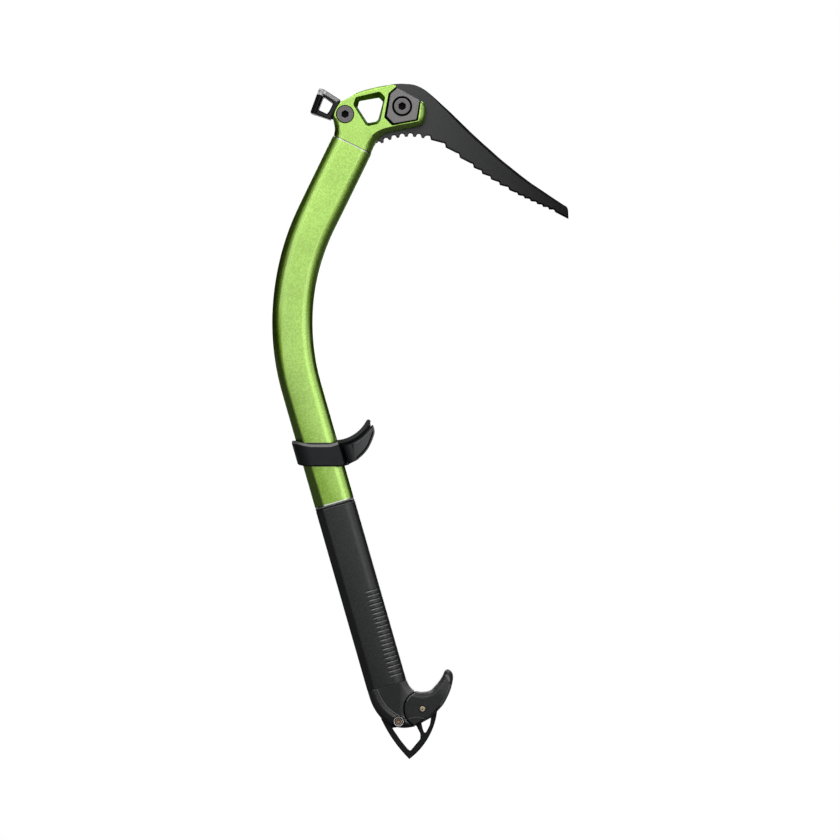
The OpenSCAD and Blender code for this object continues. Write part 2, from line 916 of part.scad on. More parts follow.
module horn_washers() {
    color(grey)
        on_low(foot_at)
            at(hub)
                for (s = [0, 1])
                    mirror([0, s, 0])
                        difference() {
                            across(washer_r, spike_t / 2 + run_gap, spike_t / 2 + run_gap + washer_t);
                            across(pin_r + fit_gap / 2, -far, far);
                        }
}

shaft();
head();
pick();
pick_weight_near();
pick_weight_far();
pick_bolt();
pick_nut();
hammer();
hammer_bolt();
hammer_nut();
rest_clamp();
rest_liner();
rest_lever();
rest_barrel();
rest_screw();
grip();
shaft_plug();
tang_pin();
spike();
pommel_base();
pommel_sleeve();
pommel_screw();
horn();
horn_pin();
horn_washers();
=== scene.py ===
"""Looks of the ice climbing tool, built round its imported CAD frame.

Outlines are in millimetres, as x and z. Depths along y are below zero on the photographed side.
"""
import math

import bmesh
import bpy
import numpy as np
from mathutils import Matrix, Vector
from mathutils.geometry import delaunay_2d_cdt


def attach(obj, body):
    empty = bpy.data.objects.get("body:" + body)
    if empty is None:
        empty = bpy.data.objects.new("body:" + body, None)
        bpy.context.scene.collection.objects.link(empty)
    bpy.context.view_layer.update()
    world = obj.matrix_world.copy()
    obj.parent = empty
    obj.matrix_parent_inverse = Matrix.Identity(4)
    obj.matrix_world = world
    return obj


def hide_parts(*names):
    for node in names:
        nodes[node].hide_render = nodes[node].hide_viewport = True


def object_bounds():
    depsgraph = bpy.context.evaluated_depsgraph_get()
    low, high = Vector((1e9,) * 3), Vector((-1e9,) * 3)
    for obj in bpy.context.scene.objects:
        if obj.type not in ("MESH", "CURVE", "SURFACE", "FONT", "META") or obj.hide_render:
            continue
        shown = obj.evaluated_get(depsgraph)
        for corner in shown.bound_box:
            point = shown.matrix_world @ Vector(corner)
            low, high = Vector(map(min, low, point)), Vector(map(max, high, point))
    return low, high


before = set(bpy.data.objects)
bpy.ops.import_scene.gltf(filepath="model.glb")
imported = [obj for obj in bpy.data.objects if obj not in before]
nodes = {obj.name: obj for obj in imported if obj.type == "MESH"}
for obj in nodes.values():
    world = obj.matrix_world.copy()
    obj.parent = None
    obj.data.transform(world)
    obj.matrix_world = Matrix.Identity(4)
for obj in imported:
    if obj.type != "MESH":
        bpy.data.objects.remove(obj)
cad_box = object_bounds()

MM = 0.001
SKIN = 0.05     # slack when faces are picked by where they lie

# main sizes of the tool, as in its CAD source, with leans from upright in degrees
LEAN_TOP = 26.0
LEAN_LOW = -16.0
SEAM = np.array([-14.1, -26.6])
TOP_LEN = 60.3
BEND_R = 176.0
BARE_LEN = 88.4
GRIP_LEN = 140.2
REST_AT = 50.7
ARC_LEN = BEND_R * math.radians(LEAN_TOP - LEAN_LOW)


# ---- places on the tool ----

def up_dir(lean):
    a = math.radians(lean)
    return np.array([math.sin(a), math.cos(a)])


def front_dir(lean):
    a = math.radians(lean)
    return np.array([math.cos(a), -math.sin(a)])


LOW_FRONT, LOW_UP = front_dir(LEAN_LOW), up_dir(LEAN_LOW)
BEND_TOP = SEAM - TOP_LEN * up_dir(LEAN_TOP)
BEND_MID = BEND_TOP + BEND_R * front_dir(LEAN_TOP)
BEND_END = BEND_MID - BEND_R * LOW_FRONT
REST = BEND_END - REST_AT * LOW_UP
FOOT = BEND_END - (BARE_LEN + GRIP_LEN) * LOW_UP
GRIP_TOP = TOP_LEN + ARC_LEN + BARE_LEN
GRIP_END = GRIP_TOP + GRIP_LEN


def way(s):
    """Centre, front and up direction of the shaft at distance s below the head seam."""
    if s < TOP_LEN:
        return SEAM - s * up_dir(LEAN_TOP), front_dir(LEAN_TOP), up_dir(LEAN_TOP)
    if s < TOP_LEN + ARC_LEN:
        lean = LEAN_TOP - math.degrees((s - TOP_LEN) / BEND_R)
        return BEND_MID - BEND_R * front_dir(lean), front_dir(lean), up_dir(lean)
    down = s - TOP_LEN - ARC_LEN
    return BEND_END - down * LOW_UP, LOW_FRONT, LOW_UP


def low(origin, points):
    """Points given along the front and up directions of the lower shaft."""
    return np.array([origin + p[0] * LOW_FRONT + p[1] * LOW_UP for p in points])


HUB = low(FOOT, [(20.6, -23.8)])[0]
FINGER = low(REST, [(20.0, 33.0)])[0]
PIVOT = low(REST, [(22.0, 0.0)])[0]
PIVOT_Y = -8.5


# ---- outlines ----

def smoothstep(a, b, x):
    t = np.clip((np.asarray(x, float) - a) / (b - a), 0, 1)
    return t * t * (3 - 2 * t)


def unit(v):
    return v / np.maximum(np.linalg.norm(v, axis=-1, keepdims=True), 1e-9)


def fall(d, width):
    """Goes from 1 at d = 0 down to 0 at d = width."""
    return np.clip(1 - d / width, 0, 1)


def dome(d, width):
    """Quarter of a circle, from 0 at d = 0 up to 1 at d = width."""
    return np.sqrt(1 - fall(d, width) ** 2)


def between(a, x, b):
    return (a < x) & (x < b)


def reach(points, mid):
    return np.linalg.norm(points - np.asarray(mid), axis=1)


def round_corners(corners, seg):
    """Closed outline through corners (x, z, radius), each turned into an arc of seg pieces."""
    out = []
    n = len(corners)
    for i, (x, z, r) in enumerate(corners):
        p = np.array([x, z], float)
        a = np.array(corners[i - 1][:2], float) - p
        b = np.array(corners[(i + 1) % n][:2], float) - p
        la, lb = np.linalg.norm(a), np.linalg.norm(b)
        ua, ub = a / la, b / lb
        half = math.acos(np.clip(ua @ ub, -1, 1)) / 2
        t = min(r / math.tan(half), 0.499 * la, 0.499 * lb)
        r = t * math.tan(half)
        mid = p + unit(ua + ub) * r / math.sin(half)
        v0, v1 = p + ua * t - mid, p + ub * t - mid
        turn = math.acos(np.clip((v0 @ v1) / (r * r + 1e-12), -1, 1))
        for k in range(seg + 1):
            f = k / seg
            if turn < 1e-4:
                out.append(mid + v0 * (1 - f) + v1 * f)
            else:
                arc_at = v0 * math.sin((1 - f) * turn) + v1 * math.sin(f * turn)
                out.append(mid + arc_at / math.sin(turn))
    return np.array(out)


def ccw(loop):
    x, z = loop[:, 0], loop[:, 1]
    area = np.sum(x * np.roll(z, -1) - np.roll(x, -1) * z)
    return loop if area > 0 else loop[::-1].copy()


def resample(points, step):
    """Points spread evenly along a closed outline; extra columns are carried along."""
    p = np.array(points, float)
    p = np.vstack([p, p[:1]])
    d = np.concatenate([[0], np.cumsum(np.linalg.norm(np.diff(p[:, :2], axis=0), axis=1))])
    n = max(3, int(round(d[-1] / step)))
    t = np.linspace(0, d[-1], n + 1)[:-1]
    return np.stack([np.interp(t, d, p[:, k]) for k in range(p.shape[1])], axis=1)


def relax(loop, passes):
    """Evens out a closed outline, or a number along one."""
    for _ in range(passes):
        loop = 0.25 * np.roll(loop, 1, 0) + 0.5 * loop + 0.25 * np.roll(loop, -1, 0)
    return loop


def curve(points, step):
    """Smooth open curve through points."""
    p = np.array(points, float)
    p = np.vstack([2 * p[0] - p[1], p, 2 * p[-1] - p[-2]])
    out = []
    for i in range(1, len(p) - 2):
        n = max(2, int(np.linalg.norm(p[i + 1] - p[i]) / step))
        for k in range(n):
            t = k / n
            out.append(0.5 * (2 * p[i] + (p[i + 1] - p[i - 1]) * t
                              + (2 * p[i - 1] - 5 * p[i] + 4 * p[i + 1] - p[i + 2]) * t * t
                              + (3 * p[i] - 3 * p[i + 1] + p[i + 2] - p[i - 1]) * t ** 3))
    out.append(p[-2])
    return np.array(out)


def arc(mid, r, a0, a1, n):
    a = np.radians(np.linspace(a0, a1, n))
    return np.stack([mid[0] + r * np.cos(a), mid[1] + r * np.sin(a)], axis=1)


def circle(mid, r, n=48):
    return arc(mid, r, 0, 360 - 360 / n, n)


def inset(loop, d):
    """A counter-clockwise loop moved inward by d, one number or one for each point."""
    e0 = unit(loop - np.roll(loop, 1, 0))
    e1 = unit(np.roll(loop, -1, 0) - loop)
    n0 = np.stack([-e0[:, 1], e0[:, 0]], axis=1)
    n1 = np.stack([-e1[:, 1], e1[:, 0]], axis=1)
    n = unit(n0 + n1)
    grow = 1 / np.maximum(0.6, np.sum(n * n0, axis=1))
    return loop + n * (np.broadcast_to(d, grow.shape) * grow)[:, None]


def inside(points, loop):
    """Which points lie inside a closed loop."""
    x, z = points[:, 0][:, None], points[:, 1][:, None]
    x0, z0 = loop[:, 0][None], loop[:, 1][None]
    x1, z1 = np.roll(loop[:, 0], -1)[None], np.roll(loop[:, 1], -1)[None]
    over = (z0 > z) != (z1 > z)
    at = x0 + (z - z0) * (x1 - x0) / np.where(z1 == z0, 1e-9, z1 - z0)
    return (np.sum(over & (x < at), axis=1) % 2) == 1


def distance(points, path, closed=False):
    """Distance of points from a polyline."""
    a = np.asarray(path, float)
    b = np.roll(a, -1, 0)
    if not closed:
        a, b = a[:-1], b[:-1]
    best = np.full(len(points), 1e9)
    for i in range(len(a)):
        e = b[i] - a[i]
        t = np.clip((points - a[i]) @ e / max(e @ e, 1e-12), 0, 1)
        best = np.minimum(best, np.linalg.norm(points - a[i] - t[:, None] * e, axis=1))
    return best


def spread(points, others):
    """Distance of points from the nearest of some others."""
    best = np.full(len(points), 1e9)
    for q in others:
        best = np.minimum(best, reach(points, q))
    return best


def offset(path, d):
    """Open path moved to its left by d."""
    e = unit(np.gradient(path, axis=0))
    return path + d * np.stack([-e[:, 1], e[:, 0]], axis=1)


def signed(points, path):
    """Distance of points from an open path, above zero on its left."""
    e = unit(np.gradient(path, axis=0))
    i = np.array([np.argmin(np.sum((path - q) ** 2, axis=1)) for q in points])
    r = points - path[i]
    left = e[i, 0] * r[:, 1] - e[i, 1] * r[:, 0] > 0
    return np.where(left, 1, -1) * distance(points, path)


def bevelled(loop, profile):
    """Rings of a hole from (how far outward, drop) pairs."""
    loop = ccw(np.asarray(loop, float))
    return [(inset(loop, -d), drop) for d, drop in profile]


# ---- meshes ----

ROW_GAP = 0.45
WELD = 2e-6


class Build:
    """Vertices and faces of one piece, in millimetres."""

    def __init__(self):
        self.v, self.f, self.m = [], [], []

    def ring(self, points):
        start = len(self.v)
        self.v += [tuple(p) for p in points]
        return list(range(start, len(self.v)))

    def flat(self, loop, y):
        y = np.broadcast_to(y, (len(loop),))
        return self.ring([(p[0], yy, p[1]) for p, yy in zip(loop, y)])

    def strip(self, a, b, mat=0):
        n = len(a)
        for i in range(n):
            j = (i + 1) % n
            self.f.append((a[i], a[j], b[j], b[i]))
            self.m.append(mat)

    def fill(self, rings):
        """Flat area bounded by rings: the first is outside, the rest are holes."""
        ids = [i for r in rings for i in r]
        xz = np.array([(self.v[i][0], self.v[i][2]) for i in ids])
        edges, k = [], 0
        for r in rings:
            edges += [(k + i, k + (i + 1) % len(r)) for i in range(len(r))]
            k += len(r)
        vs, _, faces, source, _, _ = delaunay_2d_cdt([Vector(p) for p in xz], edges, [], 0, 1e-5)
        loops, k = [], 0
        for r in rings:
            loops.append(xz[k:k + len(r)])
            k += len(r)
        tri = [f for f in faces if all(source[i] for i in f)]
        mid = np.array([np.mean([vs[i] for i in f], axis=0) for f in tri])
        keep = inside(mid, loops[0])
        for hole in loops[1:]:
            keep &= ~inside(mid, hole)
        for f, k in zip(tri, keep):
            if k:
                self.f.append(tuple(ids[source[i][0]] for i in f))
                self.m.append(0)

    def loft(self, rings, mats=None):
        """Skin over rings with as many points each, closed at both ends."""
        ids = [self.ring(r) for r in rings]
        for k in range(len(ids) - 1):
            self.strip(ids[k], ids[k + 1], mats[k] if mats else 0)
        self.f += [tuple(ids[0]), tuple(ids[-1])]
        self.m += [0, 0]
        return self

    def plate(self, loop, near, far, edge, edge_far=None, holes=()):
        """Slab between two depths. edge lists (inset, drop) from the outline inward, and holes are
        lists of (loop, drop) from their wall to the face."""
        loop = ccw(np.asarray(loop, float))
        sides = []
        for y, sign, profile in ((near, 1, edge), (far, -1, edge_far or edge)):
            rings = [self.flat(inset(loop, d), y + sign * np.asarray(drop)) for d, drop in profile]
            for a, b in zip(rings, rings[1:]):
                self.strip(a, b)
            cuts = []
            for hole in holes:
                cuts.append([self.flat(q, y + sign * drop) for q, drop in hole])
                for a, b in zip(cuts[-1], cuts[-1][1:]):
                    self.strip(a, b)
            self.fill([rings[-1]] + [c[-1] for c in cuts])
            sides.append((rings[0], [c[0] for c in cuts]))
        self.strip(sides[0][0], sides[1][0])
        for a, b in zip(sides[0][1], sides[1][1]):
            self.strip(a, b)
        return self

    def relief(self, loop, height, depths, step, rows):
        """Form that is the same on both sides, with its half thickness given by height(points).
        depths are the insets of its rings, step spaces its inner points, and rows are points on
        fine lines."""
        loop = ccw(np.asarray(loop, float))
        rows = rows[inside(rows, loop)]
        rows = rows[distance(rows, loop, True) > min(depths)]
        pts = [loop]
        for d in depths:
            q = inset(loop, d)
            q = q[inside(q, loop)]
            q = q[distance(q, loop, True) > 0.93 * d]
            pts.append(q[spread(q, rows) > ROW_GAP])
        lo, hi = loop.min(0), loop.max(0)
        gx, gz = np.meshgrid(np.arange(lo[0], hi[0], step), np.arange(lo[1], hi[1], step * 0.87))
        gx[::2] += step / 2
        grid = np.stack([gx.ravel(), gz.ravel()], axis=1)
        grid = grid[inside(grid, loop)]
        grid = grid[distance(grid, loop, True) > max(depths) + step / 2]
        every = np.vstack(pts + [rows, grid[spread(grid, rows) > ROW_GAP]])
        n = len(loop)
        edges = [(i, (i + 1) % n) for i in range(n)]
        vs, _, faces, _, _, _ = delaunay_2d_cdt([Vector(p) for p in every], edges, [], 1, 1e-5)
        xz = np.array([tuple(p) for p in vs])
        h = np.maximum(height(xz), 0)
        near = self.ring([(p[0], -k, p[1]) for p, k in zip(xz, h)])
        back = self.ring([(p[0], k, p[1]) for p, k in zip(xz, h)])
        for f in faces:
            self.f.append(tuple(near[i] for i in f))
            self.f.append(tuple(back[i] for i in reversed(f)))
            self.m += [0, 0]
        sides = dict.fromkeys((i, j) for f in faces for i, j in zip(f, list(f[1:]) + [f[0]]))
        for i, j in sides:
            if (j, i) not in sides:
                self.f.append((near[i], back[i], back[j], near[j]))
                self.m.append(0)
        return self

    def mesh(self, name):
        me = bpy.data.meshes.new(name)
        me.from_pydata([tuple(c * MM for c in v) for v in self.v], [], self.f)
        me.polygons.foreach_set("material_index", self.m)
        bm = bmesh.new()
        bm.from_mesh(me)
        bmesh.ops.remove_doubles(bm, verts=bm.verts, dist=WELD)
        bmesh.ops.dissolve_degenerate(bm, edges=bm.edges, dist=1e-7)
        bmesh.ops.recalc_face_normals(bm, faces=bm.faces)
        bm.to_mesh(me)
        bm.free()
        return me

    def piece(self, name):
        return new_object(name, self.mesh(name))


def new_object(name, data):
    obj = bpy.data.objects.new(name, data)
    bpy.context.scene.collection.objects.link(obj)
    return obj


def combine(obj, others, how="DIFFERENCE"):
    """Cuts others out of obj, or joins them to it, for good."""
    for other in others:
        mod = obj.modifiers.new("cut", "BOOLEAN")
        mod.operation, mod.solver, mod.object = how, "EXACT", other
        graph = bpy.context.evaluated_depsgraph_get()
        made = bpy.data.meshes.new_from_object(obj.evaluated_get(graph))
        obj.modifiers.clear()
        obj.data = made
        bpy.data.objects.remove(other)


def cutter(loop, near, far):
    return Build().plate(loop, near, far, [(0, 0)]).piece("cutter")


def across(loop, half):
    return cutter(loop, -half, half)


def both_sides(loop, near, far):
    return [cutter(loop, -far, -near), cutter(loop, near, far)]


def shade(obj, angle):
    """Smooth faces with hard edges above an angle, and flat faces kept flat."""
    bm = bmesh.new()
    bm.from_mesh(obj.data)
    for f in bm.faces:
        f.smooth = True
    for e in bm.edges:
        e.smooth = len(e.link_faces) == 2 and e.calc_face_angle(0) < math.radians(angle)
    bm.to_mesh(obj.data)
    bm.free()
    mod = obj.modifiers.new("normals", "WEIGHTED_NORMAL")
    mod.keep_sharp = True


def faces_of(obj):
    """Middles of the faces in millimetres, as x and z and as depth, and their normals."""
    found = []
    for what in ("center", "normal"):
        values = np.empty(3 * len(obj.data.polygons), np.float32)
        obj.data.polygons.foreach_get(what, values)
        found.append(values.reshape(-1, 3).astype(float))
    mid = found[0] / MM
    return mid[:, [0, 2]], mid[:, 1], found[1]


def paint(obj, index):
    """Gives each face the material with its number."""
    obj.data.polygons.foreach_set("material_index", np.asarray(index, np.int32))


def place(obj, body, mats, replaced):
    for m in mats:
        obj.data.materials.append(m)
    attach(obj, body)
    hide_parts(*replaced)


BREAK_ANGLE = 28


def from_cad(node, body, mat, bevel, dark=None):
    """A CAD node with its sharp edges broken. dark is a socket that gets painted shade: its middle,
    radius and near end.
    """
    bm = bmesh.new()
    bm.from_mesh(nodes[node].data)
    bmesh.ops.remove_doubles(bm, verts=bm.verts, dist=1e-6)
    bmesh.ops.dissolve_limit(bm, angle_limit=math.radians(1), verts=bm.verts, edges=bm.edges)
    sharp = [e for e in bm.edges
             if len(e.link_faces) == 2 and e.calc_face_angle(0) > math.radians(BREAK_ANGLE)]
    bmesh.ops.bevel(bm, geom=sharp, offset=bevel * MM, segments=2, profile=0.5, affect="EDGES",
                    clamp_overlap=True)
    me = bpy.data.meshes.new(node)
    bm.to_mesh(me)
    bm.free()
    obj = new_object(node + "_finished", me)
    if dark:
        socket, r, near = dark
        xz, y, _ = faces_of(obj)
        paint(obj, (reach(xz, socket) < r) & between(near, y, 0))
    shade(obj, 40)
    place(obj, body, [mat, SHADE_BLACK] if dark else [mat], [node])


# ---- materials ----

FLECK = 0.75
FADE_FLECK = FLECK / 4
COAT_ROUGH = 0.17
CLOUD = 45
GRAIN_DEEP = 0.0002


def add(tree, kind, **values):
    """New shader node, with values for its inputs."""
    node = tree.nodes.new("ShaderNode" + kind)
    for key, value in values.items():
        node.inputs[key.replace("_", " ")].default_value = value
    return node


def join(tree, *links):
    for a, out, b, into in links:
        tree.links.new(a.outputs[out], b.inputs[into])


def material(name, base, other, metallic, rough, grain, bump, spread=0.08, coat=0.0,
             tint=(1, 1, 1), gloss=0.5, film=1.5, along=None, ends=(0.35, 0.65)):
    """Procedural finish: base mixed with other by slow noise, or along x between two places.

    grain scales the fine noise of colour, bump and roughness, spread is how far roughness varies,
    film is the refraction of a clear coat, and ends are where the mixing starts and stops.
    """
    mat = bpy.data.materials.new(name)
    mat.use_nodes = True
    tree = mat.node_tree
    shader = tree.nodes["Principled BSDF"]
    for key, value in (("Metallic", metallic), ("Coat Weight", coat), ("Coat IOR", film),
                       ("Coat Roughness", COAT_ROUGH), ("Specular Tint", (*tint, 1)),
                       ("Specular IOR Level", gloss)):
        shader.inputs[key].default_value = value
    spot = add(tree, "TexCoord")
    fine = add(tree, "TexNoise", Scale=grain, Detail=2)
    fleck = add(tree, "Mix", Factor=FADE_FLECK if along else FLECK)
    if along:
        part = add(tree, "SeparateXYZ")
        slow = add(tree, "MapRange", From_Min=along[0], From_Max=along[1])
        join(tree, (spot, "Object", part, "Vector"), (part, "X", slow, "Value"),
             (slow, "Result", fleck, "A"))
    else:
        slow = add(tree, "TexNoise", Scale=CLOUD, Detail=3)
        join(tree, (spot, "Object", slow, "Vector"), (slow, "Fac", fleck, "A"))
    mixed = add(tree, "ValToRGB")
    for stop, at, colour in zip(mixed.color_ramp.elements, ends, (base, other)):
        stop.position, stop.color = at, (*colour, 1)
    level = add(tree, "MapRange", To_Min=rough - spread, To_Max=rough + spread)
    relief = add(tree, "Bump", Strength=bump, Distance=GRAIN_DEEP)
    join(tree, (spot, "Object", fine, "Vector"), (fine, "Fac", fleck, "B"),
         (fleck, "Result", mixed, "Fac"), (mixed, "Color", shader, "Base Color"),
         (fine, "Fac", level, "Value"), (level, "Result", shader, "Roughness"),
         (fine, "Fac", relief, "Height"), (relief, "Normal", shader, "Normal"))
    return mat


GREEN = material("anodised_green", (0.27, 0.51, 0.018), (0.40, 0.71, 0.066), 1.0, 0.33, 1000, 0.09,
                 0.05, 1.0, (0.02, 0.30, 0.0), film=2.0, ends=(0.41, 0.59))
# painted shade: near-black green without sheen for the head's pockets, its bolt seat and the gap at
# the shaft's top end
SHADE_GREEN = material("anodised_painted_shade", (0.006, 0.012, 0.002), (0.008, 0.016, 0.003), 0.0, 0.6,
                      1300, 0.2, gloss=0.06)
# painted shade: a darker green for the walls of the head's window
WALL_SHADE = material("anodised_wall_painted_shade", (0.200, 0.300, 0.014), (0.270, 0.380, 0.028), 1.0, 0.40, 1000,
                0.09, 0.05, 0.06, (0.02, 0.30, 0.0))
# painted shade: near black without sheen for sockets, counterbore gaps, grooves, holes and the ring
# behind the horn seam
SHADE_BLACK = material("painted_shade_black", (0.003, 0.003, 0.003), (0.005, 0.005, 0.005), 0.0, 0.7, 1200, 0.2,
                  gloss=0.05)
BARE = material("bare_edge", (0.56, 0.59, 0.51), (0.48, 0.52, 0.44), 1.0, 0.30, 1500, 0.05)
# painted shade: the pick's steel darkens along x towards its tip
STEEL_SHADED_TO_TIP = material("black_steel_painted_shade", (0.058, 0.060, 0.059), (0.004, 0.004, 0.004), 0.75, 0.46, 1600,
                 0.15, 0.06, gloss=0.35, along=(0.015, 0.150), ends=(0.1, 0.9))
# painted shade: near black for the pick's spine bevel, the ribs' downward slopes, the hammer's
# striking side and the lever's rim
SHADE_EDGE = material("painted_shade_edge", (0.005, 0.005, 0.005), (0.008, 0.008, 0.008), 0.0, 0.55, 1500,
                0.15, gloss=0.05)
SPIKE = material("spike_steel", (0.012, 0.013, 0.013), (0.016, 0.017, 0.017), 0.7, 0.48, 1500, 0.2,
                 0.06)
HAMMER = material("forged_black", (0.010, 0.010, 0.011), (0.018, 0.018, 0.019), 0.5, 0.42, 1400,
                  0.2, gloss=0.35)
# painted highlight: lighter steel for the hammer's top chamfer
TOP_HIGHLIGHT_STEEL = material("painted_highlight_steel", (0.16, 0.16, 0.165), (0.20, 0.20, 0.205), 1.0, 0.42, 900, 0.05)
GREY = material("grey_steel", (0.17, 0.165, 0.165), (0.20, 0.195, 0.195), 1.0, 0.42, 1300, 0.18)
BOLT = material("bolt_steel", (0.12, 0.115, 0.115), (0.16, 0.155, 0.155), 1.0, 0.36, 1100, 0.12)
BRIGHT = material("bright_steel", (0.60, 0.60, 0.60), (0.70, 0.70, 0.70), 1.0, 0.25, 1000, 0.08)
RING = material("polished_ring", (0.70, 0.70, 0.70), (0.82, 0.82, 0.82), 0.55, 0.42, 1000, 0.08)
BRASS = material("brass", (0.78, 0.66, 0.46), (0.86, 0.76, 0.58), 1.0, 0.32, 900, 0.10)
BRONZE = material("cup_bronze", (0.42, 0.30, 0.21), (0.54, 0.40, 0.29), 1.0, 0.32, 900, 0.10)
PLASTIC = material("moulded_plastic", (0.008, 0.009, 0.010), (0.014, 0.015, 0.016), 0.0, 0.38, 2200,
                   0.25, 0.07, gloss=0.24)
# painted highlight: lighter plastic for the rest band's upward faces, the pommel's lit line and
# part of the lever panel's chamfer
HIGHLIGHT_PLASTIC = material("painted_highlight_plastic", (0.09, 0.09, 0.087), (0.16, 0.16, 0.155), 0.0, 0.36, 1500, 0.25,
                  0.07)
POMMEL = material("pommel_plastic", (0.019, 0.020, 0.020), (0.031, 0.032, 0.032), 0.0, 0.34, 1500,
                  0.40, 0.07, gloss=0.28)
# painted highlight: the pommel's main face grows lighter along x towards its front
FRONT_HIGHLIGHT = material("painted_front_highlight", (0.023, 0.024, 0.024), (0.125, 0.126, 0.125), 0.0, 0.34, 1500,
                     0.40, 0.07, gloss=0.28, along=(0.0205, 0.0315), ends=(0.1, 0.9))
# painted highlight: the pommel's ridge band grows lighter along x towards its lower end
BAND_HIGHLIGHT = material("painted_band_highlight", (0.023, 0.024, 0.024), (0.085, 0.086, 0.085), 0.0, 0.34, 1500,
                    0.40, 0.07, gloss=0.28, along=(0.003, 0.019), ends=(0.1, 0.9))
# paler plastic for the horn: partly scuff and partly painted highlight on the heel bevel, painted
# highlight at the tip, fold line and seam edge
SCUFF_AND_HIGHLIGHT = material("scuff_and_painted_highlight", (0.100, 0.101, 0.100), (0.150, 0.151, 0.150), 0.0, 0.36, 1500,
                0.40, 0.07, gloss=0.3)
# painted highlight: pale grey on the top corner of the hammer's pad
PAD_HIGHLIGHT = material("painted_pad_highlight", (0.40, 0.40, 0.405), (0.50, 0.50, 0.505), 0.1, 0.45, 900, 0.10)
# painted shade: the lever's panel darkens along x towards the cam
PANEL = material("leaf_panel", (0.010, 0.011, 0.012), (0.058, 0.060, 0.063), 0.0, 0.45, 2200, 0.4,
                 0.07, along=(-0.0165, -0.003), ends=(0.1, 0.9))
RUBBER = material("grip_rubber", (0.013, 0.014, 0.014), (0.023, 0.024, 0.024), 0.0, 0.28, 1700,
                  0.30, 0.06)
# painted highlight: lighter rubber for the upward slopes of the grip's ribs
RIB_HIGHLIGHT = material("painted_rib_highlight", (0.105, 0.106, 0.105), (0.150, 0.151, 0.150), 0.0, 0.32, 1700,
                   0.25, 0.06)


# ---- shaft and grip ----

ROUND_CUT = 0.586       # bevel that a round corner takes the place of, as a part of its radius
CORNER_SEG = 7
FLAT_SEG = 14
CROWN = 0.11            # how much thinner the section is at its front and rear
SHAFT_WIDE = 31.5
SHAFT_DEEP = 21
FRONT_BEVEL = 4.69
SOFT_BACK = 8
GRIP_WIDE = 29.9
GRIP_BEVEL = 5.4
GRIP_ROUND = 1.6


def section(w, shrink, back, back_r):
    """Section of the shaft, w wide and inset by shrink: an octagon that is round at the front, with
    a bevel of size back at the rear whose corners are rounded by back_r."""
    w, d, front = w - 2 * shrink, SHAFT_DEEP - 2 * shrink, FRONT_BEVEL
    soft = front / ROUND_CUT
    rear = min(soft, 2 * back_r)
    c = [(-w / 2 + back, -d / 2, back_r), (w / 2 - front, -d / 2, soft),
         (w / 2, -d / 2 + front, soft)]
    c += [(u, -y, r) for u, y, r in c[::-1]]
    c += [(-w / 2, d / 2 - back, rear), (-w / 2, -d / 2 + back, rear)]
    p = round_corners(c, CORNER_SEG)
    near, far = CORNER_SEG, 5 * CORNER_SEG + 4
    t = np.linspace(0, 1, FLAT_SEG + 2)[1:-1, None]
    p = np.vstack([p[:near + 1], p[near] * (1 - t) + p[near + 1] * t, p[near + 1:far + 1],
                   p[far] * (1 - t) + p[far + 1] * t, p[far + 1:]])
    p[:, 1] *= 1 - CROWN * (2 * p[:, 0] / w) ** 2
    return p


def on_shaft(s, sec):
    c, front, _ = way(s)
    return [(c[0] + u * front[0], y, c[1] + u * front[1]) for u, y in sec]


# distance below the head seam and the size of the rear bevel there
BACK_BEVEL = [(0, 4.7), (40, 4.8), (70, 5.6), (100, 5.5), (130, 4.5), (160, 4.8), (210, 5.0),
              (250, 5.9), (275, 6.4)]


def shaft_section(s, shrink):
    w = SHAFT_WIDE - 1.5 * smoothstep(40, 125, s) - 0.2 * smoothstep(150, 200, s)
    crisp = smoothstep(120, 190, s)
    back = np.interp(s, *np.transpose(BACK_BEVEL))
    return section(w, shrink, back, SOFT_BACK - 5.4 * crisp)


def make_shaft():
    # distance below the head seam, and how far the skin is inset there
    stops = [(-1.5, 0.8), (0.0, 0.8), (0.02, 0.12), (0.75, 0.0)]
    bend_foot = TOP_LEN + ARC_LEN
    for a, b, step in ((2.0, TOP_LEN, 4.0), (TOP_LEN, bend_foot, 2.0),
                       (bend_foot, GRIP_TOP - 2.0, 4.0)):
        stops += [(s, 0.0) for s in np.arange(a, b, step)]
    for s, k in ((-0.9, 0.0), (-0.85, 0.12), (-0.05, 0.0), (0.0, 0.5), (0.05, 2.2)):
        stops.append((GRIP_TOP + s, k))
    stops.append((GRIP_END + 9.5, 2.2))
    # the two strips in the gap at the head seam take painted shade; the chamfers at the seam and
    # above the grip are bare metal
    mats = [2, 2, 1] + [0] * (len(stops) - 4)
    mats[-4] = 1
    rings = [on_shaft(s, shaft_section(s, k)) for s, k in stops]
    obj = Build().loft(rings, mats).piece("shaft_tube")
    shade(obj, 30)
    place(obj, "tool", [GREEN, BARE, SHADE_GREEN], ["shaft"])


RIB_STEP = 3.4
RIB_COUNT = 20
RIB_FIRST = 7.0
RIB_END = RIB_FIRST + RIB_STEP * RIB_COUNT
RIB_DEEP = 0.4


